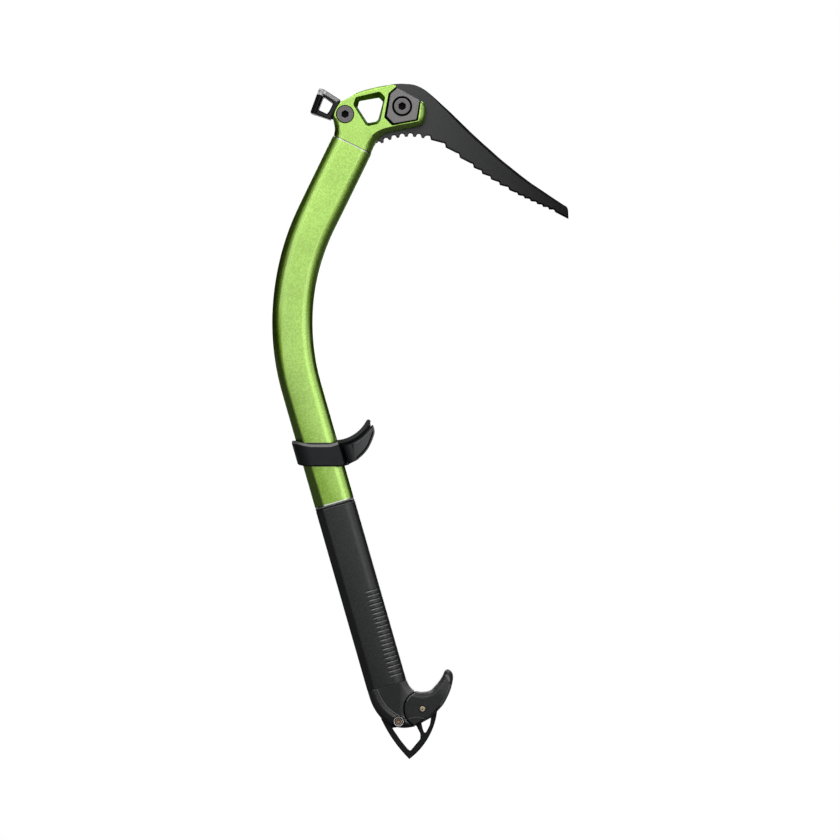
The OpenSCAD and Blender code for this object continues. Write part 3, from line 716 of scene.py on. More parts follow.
def make_grip():
    ups = np.concatenate([[0, 0.35], np.arange(1.0, RIB_FIRST - RIB_STEP, 1.2),
                          np.arange(RIB_FIRST - RIB_STEP, RIB_END, RIB_STEP / 20),
                          np.arange(RIB_END + 1, GRIP_LEN - 4, 2.5),
                          GRIP_LEN - np.array([2.9, 2.6, 2.3, 2.0, 0.9, 0.15])])
    # inset of both ends, and of the groove below the upper one
    notch = {0: 0.45, len(ups) - 4: 0.3, len(ups) - 3: 0.2, len(ups) - 1: 0.45}
    rings = []
    for k, h in enumerate(ups):
        sec = section(GRIP_WIDE, notch.get(k, 0.0), GRIP_BEVEL, GRIP_ROUND)
        zone = smoothstep(RIB_FIRST - 2.2, RIB_FIRST - 1.0, h)
        zone *= 1 - smoothstep(RIB_END - 0.6 * RIB_STEP, RIB_END - 0.3 * RIB_STEP, h)
        part = (h - RIB_FIRST) / RIB_STEP % 1
        dent = np.clip((part - 0.58) / 0.2, 0, 1) - np.clip((part - 0.83) / 0.13, 0, 1)
        span = smoothstep(4.0, 5.6, sec[:, 0]) * (1 - smoothstep(12.4, 14.0, sec[:, 0]))
        n = unit(np.stack([np.maximum(sec[:, 0] - 8.0, 0), sec[:, 1]], axis=1))
        rings.append(on_shaft(GRIP_END - h, sec - n * (RIB_DEEP * zone * dent * span)[:, None]))
    obj = Build().loft(rings).piece("grip_sleeve")
    # painted highlight on the ribs' upward slopes, painted shade on their downward slopes
    rise = faces_of(obj)[2][:, [0, 2]] @ LOW_UP
    paint(obj, between(0.25, rise, 0.8) + 2 * between(-0.8, rise, -0.25))
    shade(obj, 30)
    place(obj, "tool", [RUBBER, RIB_HIGHLIGHT, SHADE_EDGE], ["grip"])


# ---- head ----

HEAD_HALF = 10.0
# outline with the width, the depth and the end angle of the rounding at each point
HEAD = [(-33.1, -30.4, 8, 8, 90), (-27.8, -19.6, 7, 8, 90), (-27.0, -15.8, 5, 7, 90),
        (-27.2, -12.8, 4, 6, 80), (-28.2, -8.4, 3, 4, 80), (-28.4, -5.6, 1.2, 1.4, 90),
        (-26.6, -1.5, 0.7, 0.7, 90), (-24.4, 2.7, 0.7, 0.7, 90), (-22.2, 5.2, 0.7, 0.7, 90),
        (-19.2, 6.5, 0.8, 0.8, 90), (-15.5, 8.3, 0.9, 0.9, 90), (-13.3, 10.0, 1.2, 1.4, 80),
        (-10.4, 11.6, 1.3, 1.6, 70), (-4.4, 13.7, 1.3, 1.8, 70), (6.7, 16.3, 1.3, 1.8, 70),
        (14.1, 17.4, 1.0, 1.4, 70), (17.2, 17.5, 0.8, 0.8, 80), (19.7, 14.7, 0.5, 0.5, 90),
        (35.2, 6.3, 0.8, 0.8, 80), (39.2, 3.9, 2.6, 3.0, 40), (40.6, -0.5, 4.2, 4.8, 35),
        (40.1, -5.5, 4.3, 4.8, 35), (39.2, -9.6, 4.0, 5.0, 45), (37.4, -12.6, 3.6, 5.2, 52),
        (28.9, -14.6, 3.8, 5.6, 55), (21.5, -15.7, 3.6, 5.8, 55), (14.1, -17.4, 3.6, 6.0, 55),
        (10.4, -18.5, 3.8, 6.4, 55), (6.7, -20.7, 4.4, 7.0, 55), (3.7, -24.4, 5.6, 7.6, 60),
        (1.5, -28.9, 6.8, 8, 75), (-0.4, -33.5, 8, 8, 90), (-5.7, -44.3, 8, 8, 90)]
WINDOW = [(-11.5, 8.1, 2.0), (6.3, 12.4, 2.4), (10.4, 8.3, 2.4), (6.8, -9.2, 2.4),
          (4.8, -11.7, 2.0), (-2.2, -13.2, 1.2), (-4.1, -12.2, 1.2), (-13.3, 2.6, 2.0)]
OPENING = [(-9.0, 6.0, 1.4), (5.7, 8.6, 1.6), (8.7, 5.4, 1.6), (5.2, -7.6, 1.6), (3.3, -9.4, 1.4),
           (-2.0, -10.3, 0.8), (-3.1, -9.7, 0.8), (-10.2, 1.3, 1.4)]
OPENING_DEEP = 8.0
NECK_GAP = 0.45
WEIGHT = [(19.1, 15.3), (36.1, 6.0), (33.6, -8.4), (16.6, -11.4), (11.1, -6.0), (14.0, 10.8)]
POCKET = [(18.6, 16.2), (24.0, 24.0), (44.0, 13.0), (36.8, 5.8), (34.6, -9.2), (15.4, -12.9),
          (9.5, -6.8), (12.8, 11.2)]
POCKET_Y = 4.0
PICK_BOLT = (22.8, 1.5)
HAMMER_BOLT = (-19.3, -4.4)
BOLT_SEAT = 6.8
PICK_SLOT = [(15.4, 30), (13.6, 10.5), (11.4, -7.6), (7, -14.2), (2.2, -22), (2.2, -40), (60, -40),
             (60, 30)]
HAMMER_SLOT = [(-22, 7), (-17, 3), (-17, -6), (-21.5, -11.4), (-40, -11.4), (-40, 20)]
PICK_SLOT_HALF = 2.1
HAMMER_SLOT_HALF = 3.6
SEAT_Y = 6.6
COUNTERBORE = 7.2
WEIGHT_Y = (4.0, 9.2)
ROUND_SEG = 7
CLEAR = 20      # depth that cutters reach to at the head
THROUGH = 30    # and at the pommel and the horn


def rounding(width, drop, end):
    """Rounded edge of an outline. A turn that ends before 90 degrees leaves a crease."""
    turn = np.radians(end)
    return [(width * (1 - np.cos(turn * k)) / (1 - np.cos(turn)),
             drop * (1 - np.sin(turn * k) / np.sin(turn))) for k in np.linspace(0, 1, ROUND_SEG)]


def make_head():
    loop = relax(resample(HEAD, 0.7), 4)[::-1].copy()
    face, opening = ccw(round_corners(WINDOW, 5)), ccw(round_corners(OPENING, 5))
    window = [(opening, OPENING_DEEP), (inset(face, 0.4), 0.6), (face, 0.0)]
    edge = rounding(*loop[:, 2:].T)
    me = Build().plate(loop[:, :2], -HEAD_HALF, HEAD_HALF, edge, holes=[window]).mesh("head")
    bm = bmesh.new()
    bm.from_mesh(me)
    up = up_dir(LEAN_TOP)
    x, z = (SEAM + NECK_GAP * up) * MM
    cut = bmesh.ops.bisect_plane(bm, geom=bm.verts[:] + bm.edges[:] + bm.faces[:], dist=1e-7,
                                 plane_co=(x, 0, z), plane_no=(-up[0], 0, -up[1]), clear_outer=True)
    rim = [e for e in cut["geom_cut"] if isinstance(e, bmesh.types.BMEdge)]
    bmesh.ops.edgenet_fill(bm, edges=rim)
    bmesh.ops.recalc_face_normals(bm, faces=bm.faces)
    bm.to_mesh(me)
    bm.free()
    obj = new_object("head_forging", me)
    cuts = [across(PICK_SLOT, PICK_SLOT_HALF), across(HAMMER_SLOT, HAMMER_SLOT_HALF)]
    cuts += both_sides(circle(HAMMER_BOLT, BOLT_SEAT), SEAT_Y, CLEAR)
    cuts += both_sides(round_corners([(x, z, 1.2) for x, z in POCKET], 4), POCKET_Y, CLEAR)
    combine(obj, cuts)
    # painted shade on the pocket floors and walls and in the bolt seat, and a painted shade of
    # green on the window walls
    xz, y, _ = faces_of(obj)
    deep = HEAD_HALF - np.abs(y)
    dark = inside(xz, inset(ccw(np.array(POCKET)), -SKIN)) & (deep > 0.4)
    dark |= (reach(xz, HAMMER_BOLT) < BOLT_SEAT + SKIN) & (deep > SKIN)
    paint(obj, np.where(inside(xz, inset(face, -SKIN)), 2, dark))
    shade(obj, 30)
    place(obj, "tool", [GREEN, SHADE_GREEN, WALL_SHADE], ["head"])


def make_weight(side, sign):
    near, far = sorted(sign * y for y in WEIGHT_Y)
    loop = resample(round_corners([(x, z, 1.1) for x, z in WEIGHT], 4), 0.8)
    bore = bevelled(circle(PICK_BOLT, COUNTERBORE, 96), [(0, 0.4), (0.35, 0)])
    plate = Build().plate(loop, near, far, [(0, 0.5), (0.45, 0)], holes=[bore])
    obj = plate.piece("weight_" + side)
    # painted shade in the gap round the counterbore
    paint(obj, np.abs(reach(faces_of(obj)[0], PICK_BOLT) - COUNTERBORE) < SKIN)
    shade(obj, 28)
    place(obj, "tool", [GREY, SHADE_BLACK], ["pick_weight_" + side])


# ---- pick ----

SPINE = [(14.5, 18.1), (17.8, 18.5), (21.5, 18.8), (25.2, 18.6), (28.9, 18.4), (32.6, 17.6),
         (36.3, 16.1), (40.0, 13.9), (43.7, 11.0), (47.4, 7.8), (51.1, 4.4), (58.5, -2.4),
         (65.9, -9.6), (73.3, -16.8), (80.7, -23.7), (88.1, -30.3), (95.5, -36.9), (102.9, -42.9),
         (110.3, -48.8), (117.7, -54.4), (125.1, -59.4), (132.5, -64.4), (139.9, -69.3),
         (142.8, -71.2)]
TIP = [(144.3, -72.0), (145.0, -72.9), (145.6, -74.7), (145.9, -81.3)]
TEETH = [(135.8, -76.2, 1.9), (131.3, -74.3, 1.9), (126.9, -72.4, 1.9), (122.5, -70.3, 1.9),
         (117.7, -68.1, 1.9), (113.2, -66.0, 1.9), (108.4, -63.6, 1.9), (101.8, -59.9, 2.5),
         (94.9, -56.2, 2.6), (88.4, -52.0, 2.6), (81.9, -47.9, 2.8), (75.6, -43.4, 3.2),
         (65.3, -36.0, 3.4), (54.9, -28.5, 3.4), (43.9, -22.8, 3.2)]
ARCH = (28.3, -65.3)
ARCH_R = 45.0
NOTCH_R = 1.9
NOTCH_AT = ARCH_R + 0.6
NOTCH_STEP = 7.7
NOTCH_FIRST = 73.8
ARCH_END = 122.0
# steps of a tooth from its point: back, up, and up as a part of its rise
TOOTH = [(-0.25, 0, 0), (0, 0.15, 0), (0.1, 0, 0.5), (0.45, 0, 0.82), (1.1, 0, 1), (1.8, 0, 0.98)]
TAIL = [(7.6, -14.2), (12.0, -7.5), (14.2, 10.4)]
PICK_HALF = 2.0


def make_pick():
    spine = curve(SPINE, 1.2)
    teeth = [(x - back, z + up + part * rise) for x, z, rise in TEETH for back, up, part in TOOTH]
    a = np.arange(NOTCH_FIRST + 0.2, ARCH_END, 0.32)
    off = np.abs((a - NOTCH_FIRST + NOTCH_STEP / 2) % NOTCH_STEP - NOTCH_STEP / 2)
    off = off * math.radians(1) * NOTCH_AT
    notched = (off < NOTCH_R) & (a < NOTCH_FIRST + NOTCH_STEP * 6.5)
    r = np.where(notched, NOTCH_AT + np.sqrt(np.maximum(NOTCH_R ** 2 - off ** 2, 0)), ARCH_R)
    a = np.radians(a)
    under = np.stack([ARCH[0] + r * np.cos(a), ARCH[1] + r * np.sin(a)], axis=1)
    loop = np.vstack([spine, TIP, teeth, under, TAIL])
    loop = loop[np.concatenate([[True], np.linalg.norm(np.diff(loop, axis=0), axis=1) > 0.05])]
    loop = ccw(relax(resample(loop, 0.45), 1))
    x = loop[:, 0]
    on_spine = (distance(loop, spine) < 0.2) & (x > 15)
    swell = smoothstep(34, 70, x)
    plain = np.where(x > 43, 0.9, 0.4)
    width = np.where(on_spine, 0.4 + 1.6 * swell - 0.5 * smoothstep(110, 142, x), plain)
    drop = np.where(on_spine, 0.4 + 0.9 * swell, plain)
    width, drop = relax(width, 3), relax(drop, 3)
    edge = [(0, drop), (width, 0.11), (width + 0.28, 0)]
    obj = Build().plate(loop, -PICK_HALF, PICK_HALF, edge).piece("pick_blade")
    # painted shade along the spine's bevel
    xz, _, n = faces_of(obj)
    paint(obj, (distance(xz, spine) < 1.6) & (xz[:, 0] > 33) & (np.abs(n[:, 1]) < 0.9))
    shade(obj, 18)
    place(obj, "tool", [STEEL_SHADED_TO_TIP, SHADE_EDGE], ["pick"])


# ---- hammer ----

HAMMER_OUT = [(-38.5, 15.0, 0.6), (-35.2, 14.4, 1.0), (-22.9, 6.6, 0.6), (-22.6, 5.3, 0.6),
              (-29.2, -6.3, 0.8), (-29.9, -8.2, 0.8), (-37.7, -5.5, 2.0), (-45.1, -3.0, 0.6)]
HAMMER_HOLE = [(-35.2, 8.9, 0.8), (-28.2, 3.9, 0.8), (-32.1, -4.2, 0.8), (-39.0, -0.9, 0.8)]
TONGUE = [(-24, 4, 1), (-15, 0, 4), (-16, -10, 4), (-22, -11, 3), (-29, -7.5, 0.5), (-33, -4, 0.5),
          (-27, 3.5, 0.5)]
HAMMER_HALF = 7.0
TONGUE_HALF = 3.5
BROW = np.array([(-38.5, 15.0), (-35.2, 14.4), (-22.6, 6.4)])
PAD_TOP, PAD_FOOT = np.array([-38.5, 15.0]), np.array([-45.1, -3.0])
# sections of the striking pad: depth, half width, and how far its ends are cut back
PAD = [(0.0, 7.3, 0.9), (0.4, 7.7, 0.2), (2.9, 9.5, 0.0), (3.3, 9.5, 0.0), (4.8, 6.8, 0.4)]
PAD_SLOPE = 4.4
PAD_IN = 2.0


def make_hammer():
    loop = ccw(resample(round_corners(HAMMER_OUT, 4), 0.6))
    wide = 1 - smoothstep(0.3, 1.2, distance(loop, BROW))
    edge = [(0, 0.7 + 1.4 * wide), (0.05 + 0.4 * wide, 0.6 + 0.5 * wide), (0.7 + 2.1 * wide, 0)]
    hole = bevelled(round_corners(HAMMER_HOLE, 4), [(0, 0.9), (0.7, 0)])
    obj = Build().plate(loop, -HAMMER_HALF, HAMMER_HALF, edge, holes=[hole]).piece("hammer_frame")
    along = unit(PAD_TOP - PAD_FOOT)
    deep = np.array([along[1], -along[0]])
    length = np.linalg.norm(PAD_TOP - PAD_FOOT)
    rings = []
    for depth, half, cut in PAD:
        end = length - cut
        c = [(cut, -half, 0.8), (end - PAD_SLOPE, -half, 0.5), (end, PAD_IN - half, 0.5)]
        c += [(t, -y, r) for t, y, r in c[::-1]]
        pts = [(PAD_FOOT + along * t + deep * depth, y) for t, y in round_corners(c, 3)]
        rings.append([(p[0], y, p[1]) for p, y in pts])
    pad = Build().loft(rings).piece("hammer_pad")
    loop = round_corners(TONGUE, 5)
    tongue = Build().plate(loop, -TONGUE_HALF, TONGUE_HALF, [(0, 0.3), (0.3, 0)])
    combine(obj, [pad, tongue.piece("hammer_tongue")], "UNION")
    xz, _, n = faces_of(obj)
    # painted highlight on the top chamfer and the pad's top corner, painted shade on the striking
    # side
    flat, near_brow = np.abs(n[:, 1]), distance(xz, BROW)
    index = ((near_brow < 4.0) & (n[:, 2] > 0.12) & between(0.75, flat, 0.97)).astype(int)
    index[(n[:, [0, 2]] @ deep < -0.3) & (n[:, 2] < 0.3)] = 2
    sloped = ((n[:, 2] > 0.12) | (n[:, 0] > 0.6)) & (flat > 0.45)
    index[(near_brow < 5.0) & (reach(xz, PAD_TOP) < 6.2) & sloped] = 3
    paint(obj, index)
    shade(obj, 25)
    place(obj, "tool", [HAMMER, TOP_HIGHLIGHT_STEEL, SHADE_EDGE, PAD_HIGHLIGHT], ["hammer"])


# ---- finger rest ----

BAND_TOP = -247.8
BAND_FOOT = -264.2
BAND_GAP = 0.9
BAND_WALL = 2.2
BAND_END = 14.9
BAND_HALF = 15.2
BAND_ROUND = 8
# how far outward, 1 from the top edge or 0 from the foot, and how far above that
RIM = [(0, 1, 0), (1.1, 1, 0), (1.45, 1, -0.2), (1.6, 1, -0.8), (BAND_WALL, 1, -2.1),
       (BAND_WALL, 0, 0.9), (BAND_WALL - 0.8, 0, 0), (0, 0, 0)]
THIN = [(0.1, 1, -0.6), (1.0, 1, -0.6), (1.0, 0, 0.2), (0.1, 0, 0.2)]
BLADE_IN = 26.9
BLADE_OUT = 30.1
BLADE_TIP = -24.4
TIP_LONG = 3.1
BLADE_HALF = 12.6
SPLIT = 0.8     # half of the slit at the front of the band
WEB_R = 25.6
WEB_IN = 28.8
WEB_BACK = 17.3
WEB_FAR = 5.5
EAR = [(WEB_BACK, -11), (26.3, -11), (26.3, 1), (WEB_BACK, 1)]
EAR_NEAR = 3.5


def band(path, profile):
    """Sections of the band along a path on its inner face."""
    step = np.gradient(path, axis=0)
    normals = unit(np.stack([-step[:, 1], step[:, 0]], axis=1))
    normals *= np.sign(np.sum(normals * path, axis=1))[:, None]
    rings = []
    for p, n in zip(path, normals):
        u = p[0]
        top = BAND_TOP + 2.6 * (1 - smoothstep(-17, -4, u)) + 2.3 * smoothstep(8, 17, u)
        foot = BAND_FOOT + 1.0 * (1 - smoothstep(-17.5, -11, u)) + 0.8 * smoothstep(12.0, 15.0, u)
        ring = []
        for k, at_top, rise in profile:
            q = p + n * k
            c = REST + q[0] * LOW_FRONT
            c = c + ((top if at_top else foot) + rise - c[1]) / LOW_UP[1] * LOW_UP
            ring.append((c[0], q[1], c[1]))
        rings.append(ring)
    return rings


def make_rest():
    b = Build()
    half_w, half_d, r = BAND_HALF + BAND_GAP, SHAFT_DEEP / 2 + BAND_GAP, BAND_ROUND + BAND_GAP
    corners = [(half_w * i, half_d * j, r) for i, j in ((1, -1), (-1, -1), (-1, 1), (1, 1))]
    around = round_corners(corners, 10)
    corner, rest_of = around[:11], around[11:]
    flat = [(u, -half_d) for u in np.linspace(BAND_END, rest_of[0][0] + 2, 8)]
    b.loft(band(np.vstack([flat, rest_of, [half_w, SPLIT]]), RIM))
    # thin wall round the near front corner, behind the cam
    path = np.vstack([[12.0, -half_d], corner, [half_w, -SPLIT]])
    path = path[np.argsort(np.arctan2(path[:, 1] + 2, path[:, 0]))]
    b.loft(band(path, THIN))
    # blade under the finger
    rings = []
    mid_r = (BLADE_IN + BLADE_OUT) / 2
    turns = [np.linspace(-100, BLADE_TIP - TIP_LONG, 40),
             BLADE_TIP - TIP_LONG * (1 - np.sin(np.linspace(0.1, 1.45, 12)))]
    for a in np.concatenate(turns):
        t = math.radians(a)
        end = math.sqrt(1 - max(0.0, (a - BLADE_TIP + TIP_LONG) / TIP_LONG) ** 2)
        half = BLADE_HALF - 5.0 * smoothstep(-75, BLADE_TIP, a) - 1.2 * (1 - end)
        near = -half if a > -84 else SPLIT
        thick = (BLADE_OUT - BLADE_IN) / 2 * end
        edge = min(0.7, 0.6 * thick)
        c = [(mid_r + i * thick, y, edge)
             for i, y in ((-1, near), (1, near), (1, half), (-1, half))]
        rings.append([(FINGER[0] + r * math.cos(t), y, FINGER[1] + r * math.sin(t))
                      for r, y in round_corners(c, 3)])
    b.loft(rings)
    # web that carries the blade, and the ear for the screw
    web_mid = low(REST, [(16.2, 14.6)])[0]
    web = np.vstack([arc(web_mid, WEB_R, -95, 12, 40), arc(FINGER, WEB_IN, -26, -92, 40)])
    web = web[(web - REST) @ LOW_FRONT > WEB_BACK]
    b.plate(web, SPLIT, WEB_FAR, [(0, 0.5), (0.5, 0)])
    ear = round_corners([(x, z, 1.2) for x, z in low(REST, EAR)], 3)
    b.plate(ear, -EAR_NEAR, -SPLIT, [(0, 0.3), (0.3, 0)])
    obj = b.piece("rest_band")
    # painted highlight on the band's upward-facing faces
    xz, _, n = faces_of(obj)
    paint(obj, between(0.2, n[:, [0, 2]] @ LOW_UP, 0.7) & ((xz - REST) @ LOW_FRONT < BAND_END))
    shade(obj, 16)
    place(obj, "rest", [PLASTIC, HIGHLIGHT_PLASTIC], ["rest_clamp"])


LEAF_OUT = [(1.2, -233.3), (2.0, -235.5), (2.6, -238.0), (2.2, -240.9), (0.35, -246.0),
            (-2.35, -251.3), (-5.7, -255.4), (-9.1, -258.4), (-12.4, -260.8)]
CAM_R = 4.6
CAM_LEAN = 0.2
LEAF_NEAR = 12.6
LEAF_BACK = 9.3
LEAF_R = 32.0
PANEL_R = 32.7
PANEL_IN = 0.7
PANEL_NEAR = 13.15
PANEL_BACK = 12.0
# rings of the cam: height, radius, and slope towards the front
CAM = [(-12.2, CAM_R - 0.5, CAM_LEAN), (-11.7, CAM_R, CAM_LEAN), (0.6, CAM_R, 0),
       (1.2, CAM_R - 0.6, 0)]


def make_lever():
    outer = curve(LEAF_OUT, 0.8)
    upper = arc(FINGER, LEAF_R, -66, -29.5, 40)
    upper = upper[upper[:, 0] > -15.0]
    loop = np.vstack([upper, outer, low(REST, [(21.2, -11.4)])])
    loop = ccw(relax(resample(loop, 0.6), 1))
    room = 0.35 * np.maximum(distance(loop, upper), distance(loop, outer))
    near_edge = [(0, 0.6), (np.minimum(0.15, room / 4), 0.3), (np.minimum(0.8, room), 0)]
    far_edge = [(0, 0.6), (np.minimum(0.6, room), 0)]
    obj = Build().plate(loop, -LEAF_NEAR, -LEAF_BACK, near_edge, far_edge).piece("lever_leaf")
    rings = []
    for w, r, lean in CAM:
        ring = []
        for a in np.radians(np.arange(0, 360, 7.5)):
            u, y = r * math.cos(a), r * math.sin(a)
            c = PIVOT + u * LOW_FRONT + (w + lean * u) * LOW_UP
            ring.append((c[0], PIVOT_Y + (0.95 * y if y > 0 else y), c[1]))
        rings.append(ring)
    combine(obj, [Build().loft(rings).piece("lever_cam")], "UNION")
    # raised panel, with a steep edge above and a broad one below
    brow = arc(FINGER, PANEL_R, -64, -31.5, 40)
    inner = offset(outer, -PANEL_IN)
    field = np.vstack([brow, inner])
    field = field[((field - REST) @ LOW_FRONT > 22.6) & (reach(field, FINGER) > PANEL_R - 0.1)]
    field = field[np.maximum(distance(field, brow), distance(field, inner)) > 1.2]
    field = ccw(resample(field, 0.6))
    room = 0.35 * np.maximum(distance(field, brow), distance(field, inner))
    turn = np.sum(unit(field - np.roll(field, 1, 0)) * unit(np.roll(field, -1, 0) - field), axis=1)
    room = np.minimum(room, 0.45 * spread(field, field[turn < 0.9]))
    wide = 0.7 + 0.7 * (1 - smoothstep(0.3, 1.0, distance(field, inner)))
    edge = [(0, 0.75), (np.minimum(wide, room), 0)]
    panel = Build().plate(field, -PANEL_NEAR, -PANEL_BACK, edge, [(0, 0)])
    combine(obj, [panel.piece("lever_panel")], "UNION")
    # painted shade on the leaf's outer rim and on part of the panel's chamfer, painted highlight on
    # the rest of the chamfer, and the panel's face darkens towards the cam
    xz, y, n = faces_of(obj)
    index = 2 * (between(-0.97, n[:, 1], -0.5) & (distance(xz, outer) < 0.9))
    slope = between(-0.97, n[:, 1], -0.3) & inside(xz, field)
    index[slope] = np.where(n[slope, 2] - n[slope, 0] > 0.2, 2, 3)
    index[(n[:, 1] < -0.99) & (np.abs(y + PANEL_NEAR) < 0.02)] = 1
    paint(obj, index)
    shade(obj, 28)
    place(obj, "lever", [PLASTIC, PANEL, HIGHLIGHT_PLASTIC, SHADE_EDGE], ["rest_lever"])


# ---- pommel ----

SEAM_IN = 13.35
SEAM_OUT = 14.3
POMMEL_BACK = [(-2.9, -430.3), (-0.6, -437.6), (1.8, -443.0), (5.0, -447.9), (8.4, -451.6),
               (13.4, -455.2), (16.2, -456.6), (21.5, -457.7), (25.6, -457.8), (30.0, -457.2),
               (32.6, -456.7)]
POMMEL_FRONT = [(31.6, -430.0), (29.8, -428.6), (27.9, -426.2), (26.6, -423.6), (25.8, -422.1)]
RIDGE = [(-0.5, -424.5), (2.0, -430.5), (5.2, -437.6), (9.6, -443.6), (14.1, -447.6),
         (18.5, -450.2), (22.9, -452.0), (27.5, -453.6), (31.0, -454.6)]
POMMEL_HALF = 10.4
BAND_WIDE = 2.3
BAND_DEEP = 0.35
LINE_HIGH = 0.3
LINE_HALF = 0.45
HEEL_DEEP = 2.8
BACK_ROUND = 2.6
FRONT_ROUND = 6.5
SEAM_WIDE = 0.6
FOOT_BOLT = low(FOOT, [(1.2, -27.7)])[0]
FOOT_BORE = 3.8
FOOT_SEAT = 4.5
FOOT_SEAT_Y = 6.5
SPIKE_ROOM = 1.9
# room for the spike, along the front and up directions from the foot of the grip
POMMEL_SLOT = [(-6.2, 1), (6.2, 1), (6.2, -12.6), (40, -12.6), (40, -60), (-40, -60), (-40, -22.4),
               (-11.5, -22.4), (-6.7, -12)]


def make_pommel():
    back = curve(POMMEL_BACK, 0.6)
    seam = arc(HUB, SEAM_OUT, 248.5, 114.5, 48)
    front = curve(POMMEL_FRONT, 0.6)
    loop = resample(np.vstack([back, seam, front]), 0.6)
    ridge = curve(RIDGE, 0.5)
    top = np.array([POMMEL_BACK[0], POMMEL_FRONT[-1]])
    lines = [-1.0, -0.4, 0.0, 0.4]
    lines += [BAND_WIDE + d for d in (-0.5, 0, LINE_HALF, 2 * LINE_HALF, 1.3)]
    rows = np.vstack([offset(ridge, d) for d in lines])

    def height(p):
        d_back, over = distance(p, back), signed(p, ridge)
        # the heel falls away from the crest, and the band beside it slopes down to the main face
        slope = np.maximum(-over, 0) / np.maximum(-over + d_back, 1e-6)
        heel = POMMEL_HALF - HEEL_DEEP * slope ** 1.3
        face = POMMEL_HALF - BAND_DEEP * np.clip(over / BAND_WIDE, 0, 1)
        face = face + LINE_HIGH * fall(np.abs(over - BAND_WIDE - LINE_HALF), LINE_HALF)
        h = np.where(over < 0, heel, face)
        h = np.minimum(h, h * dome(d_back, BACK_ROUND))
        turned_in = FRONT_ROUND * (1 - dome(distance(p, front), FRONT_ROUND))
        h = np.minimum(h, POMMEL_HALF - turned_in)
        h = h - 0.5 * fall(distance(p, seam), SEAM_WIDE)
        return np.minimum(h, POMMEL_HALF - 0.4 * fall(distance(p, top), 0.5))

    shell = Build().relief(loop, height, (0.15, 0.6, 1.2, 1.9, 2.8, 3.8), 0.75, rows)
    obj = shell.piece("pommel_shell")
    cuts = [across(low(FOOT, POMMEL_SLOT), SPIKE_ROOM),
            across(circle(FOOT_BOLT, FOOT_BORE), THROUGH)]
    combine(obj, cuts + both_sides(circle(FOOT_BOLT, FOOT_SEAT), FOOT_SEAT_Y, THROUGH))
    # painted shade in the bolt seat; painted highlights on the band, on the lit side of the moulded
    # line and, fading in towards the front, on the main face
    out = reach(np.array([(v.co.x, v.co.z) for v in obj.data.vertices]) / MM, FOOT_BOLT)
    out = np.array([max(out[i] for i in f.vertices) for f in obj.data.polygons])
    index = (out < FOOT_SEAT + SKIN).astype(int)
    xz, _, n = faces_of(obj)
    flat, over = np.abs(n[:, 1]), signed(xz, ridge) - BAND_WIDE
    free = (index == 0) & (flat >= 0.3)
    index[free & between(-BAND_WIDE, over, 0)] = 4
    index[free & (over > 2 * LINE_HALF)] = 3
    lit = (flat > 0.5) & (n[:, 0] + n[:, 2] > 0.2)
    index[free & between(LINE_HALF, over, 2 * LINE_HALF) & lit] = 2
    paint(obj, index)
    shade(obj, 32)
    mats = [POMMEL, SHADE_BLACK, HIGHLIGHT_PLASTIC, FRONT_HIGHLIGHT, BAND_HIGHLIGHT]
    place(obj, "tool", mats, ["pommel_base"])


# half lengths of the turned pieces, and their profiles: radius, depth below the end, material
# material 1 of the pin and the sleeve is painted shade, in the pin's hole and the sleeve's bore and
# groove
PIN_HALF = 8.95
PIN = [(0.02, 0.8, 1), (0.35, 0.8, 1), (0.4, 0.15, 0), (0.5, 0, 0), (1.6, 0, 2), (1.8, 0.15, 2),
       (2.2, 0.2, 2), (2.35, 0.3, 2), (2.35, 0.7, 0), (1.55, 0.72, 0)]
FOOT_HALF = 8.5
SLEEVE = [(2.05, 1.6, 1), (2.05, 0.55, 0), (2.15, 0.4, 0), (2.28, 0.4, 1), (2.32, 1.1, 1),
          (2.92, 1.1, 1), (2.97, 0.15, 0), (3.1, 0, 0), (3.55, 0, 0), (3.7, 0.15, 0)]
CUP = [(0.02, 2.0, 0), (0.7, 1.9, 0), (1.3, 1.4, 0), (1.75, 0.6, 0), (1.88, 0.7, 0)]


def turned(name, mid, half, profile, slot, mats, replaced):
    """Round piece on a cross axis, the same on both sides."""
    b = Build()
    near = [(r, y - half, m) for r, y, m in profile]
    rows = near + [(r, -y, m) for r, y, m in near[::-1]]
    rings = [b.flat(circle(mid, r), y) for r, y, _ in rows]
    for k in range(len(rows)):
        b.strip(rings[k], rings[(k + 1) % len(rows)], rows[k][2])
    obj = b.piece(name)
    shade(obj, 30)
    place(obj, "tool", mats, replaced)


def make_foot_bolts():
    brass, foot = [BRASS, SHADE_BLACK, BRONZE], (FOOT_BOLT, FOOT_HALF)
    turned("horn_pivot", HUB, PIN_HALF, PIN, "brass_metal", brass, ["horn_pin"])
    turned("sleeve", *foot, SLEEVE, "grey_steel", [RING, SHADE_BLACK], ["pommel_sleeve"])
    turned("cup_screw", *foot, CUP, "brass_metal", [BRONZE, SHADE_BLACK], ["pommel_screw"])


HORN_TOP = [(32.6, -430.6), (37.8, -431.2), (43.7, -429.7), (47.4, -426.2), (50.8, -422.2),
            (53.1, -418.2), (54.2, -415.6), (56.0, -414.4), (58.2, -415.0), (59.9, -417.1),
            (60.5, -419.8), (60.2, -423.3), (58.5, -429.9), (56.0, -435.6), (53.5, -440.1),
            (51.1, -443.0), (48.3, -446.0), (44.6, -449.9), (41.2, -451.9), (37.0, -454.2),
            (33.8, -456.2)]
HORN_HALF = 9.5
LIP_HALF = 7.0
LIP_END = 2.5
HORN_SLOT = 12.6
HORN_ROOM = 2.3
HEEL_SLOPE = 0.62
HEEL_WIDE = 2.4
HEEL_ROUND = 2.2
PALM_ROUND = 4.0
FOLD_DEEP = 0.35
PIN_SEAT = 2.7
PIN_SEAT_Y = 8.1
PIN_BORE = 1.65
TIP_FOOT = -425.0
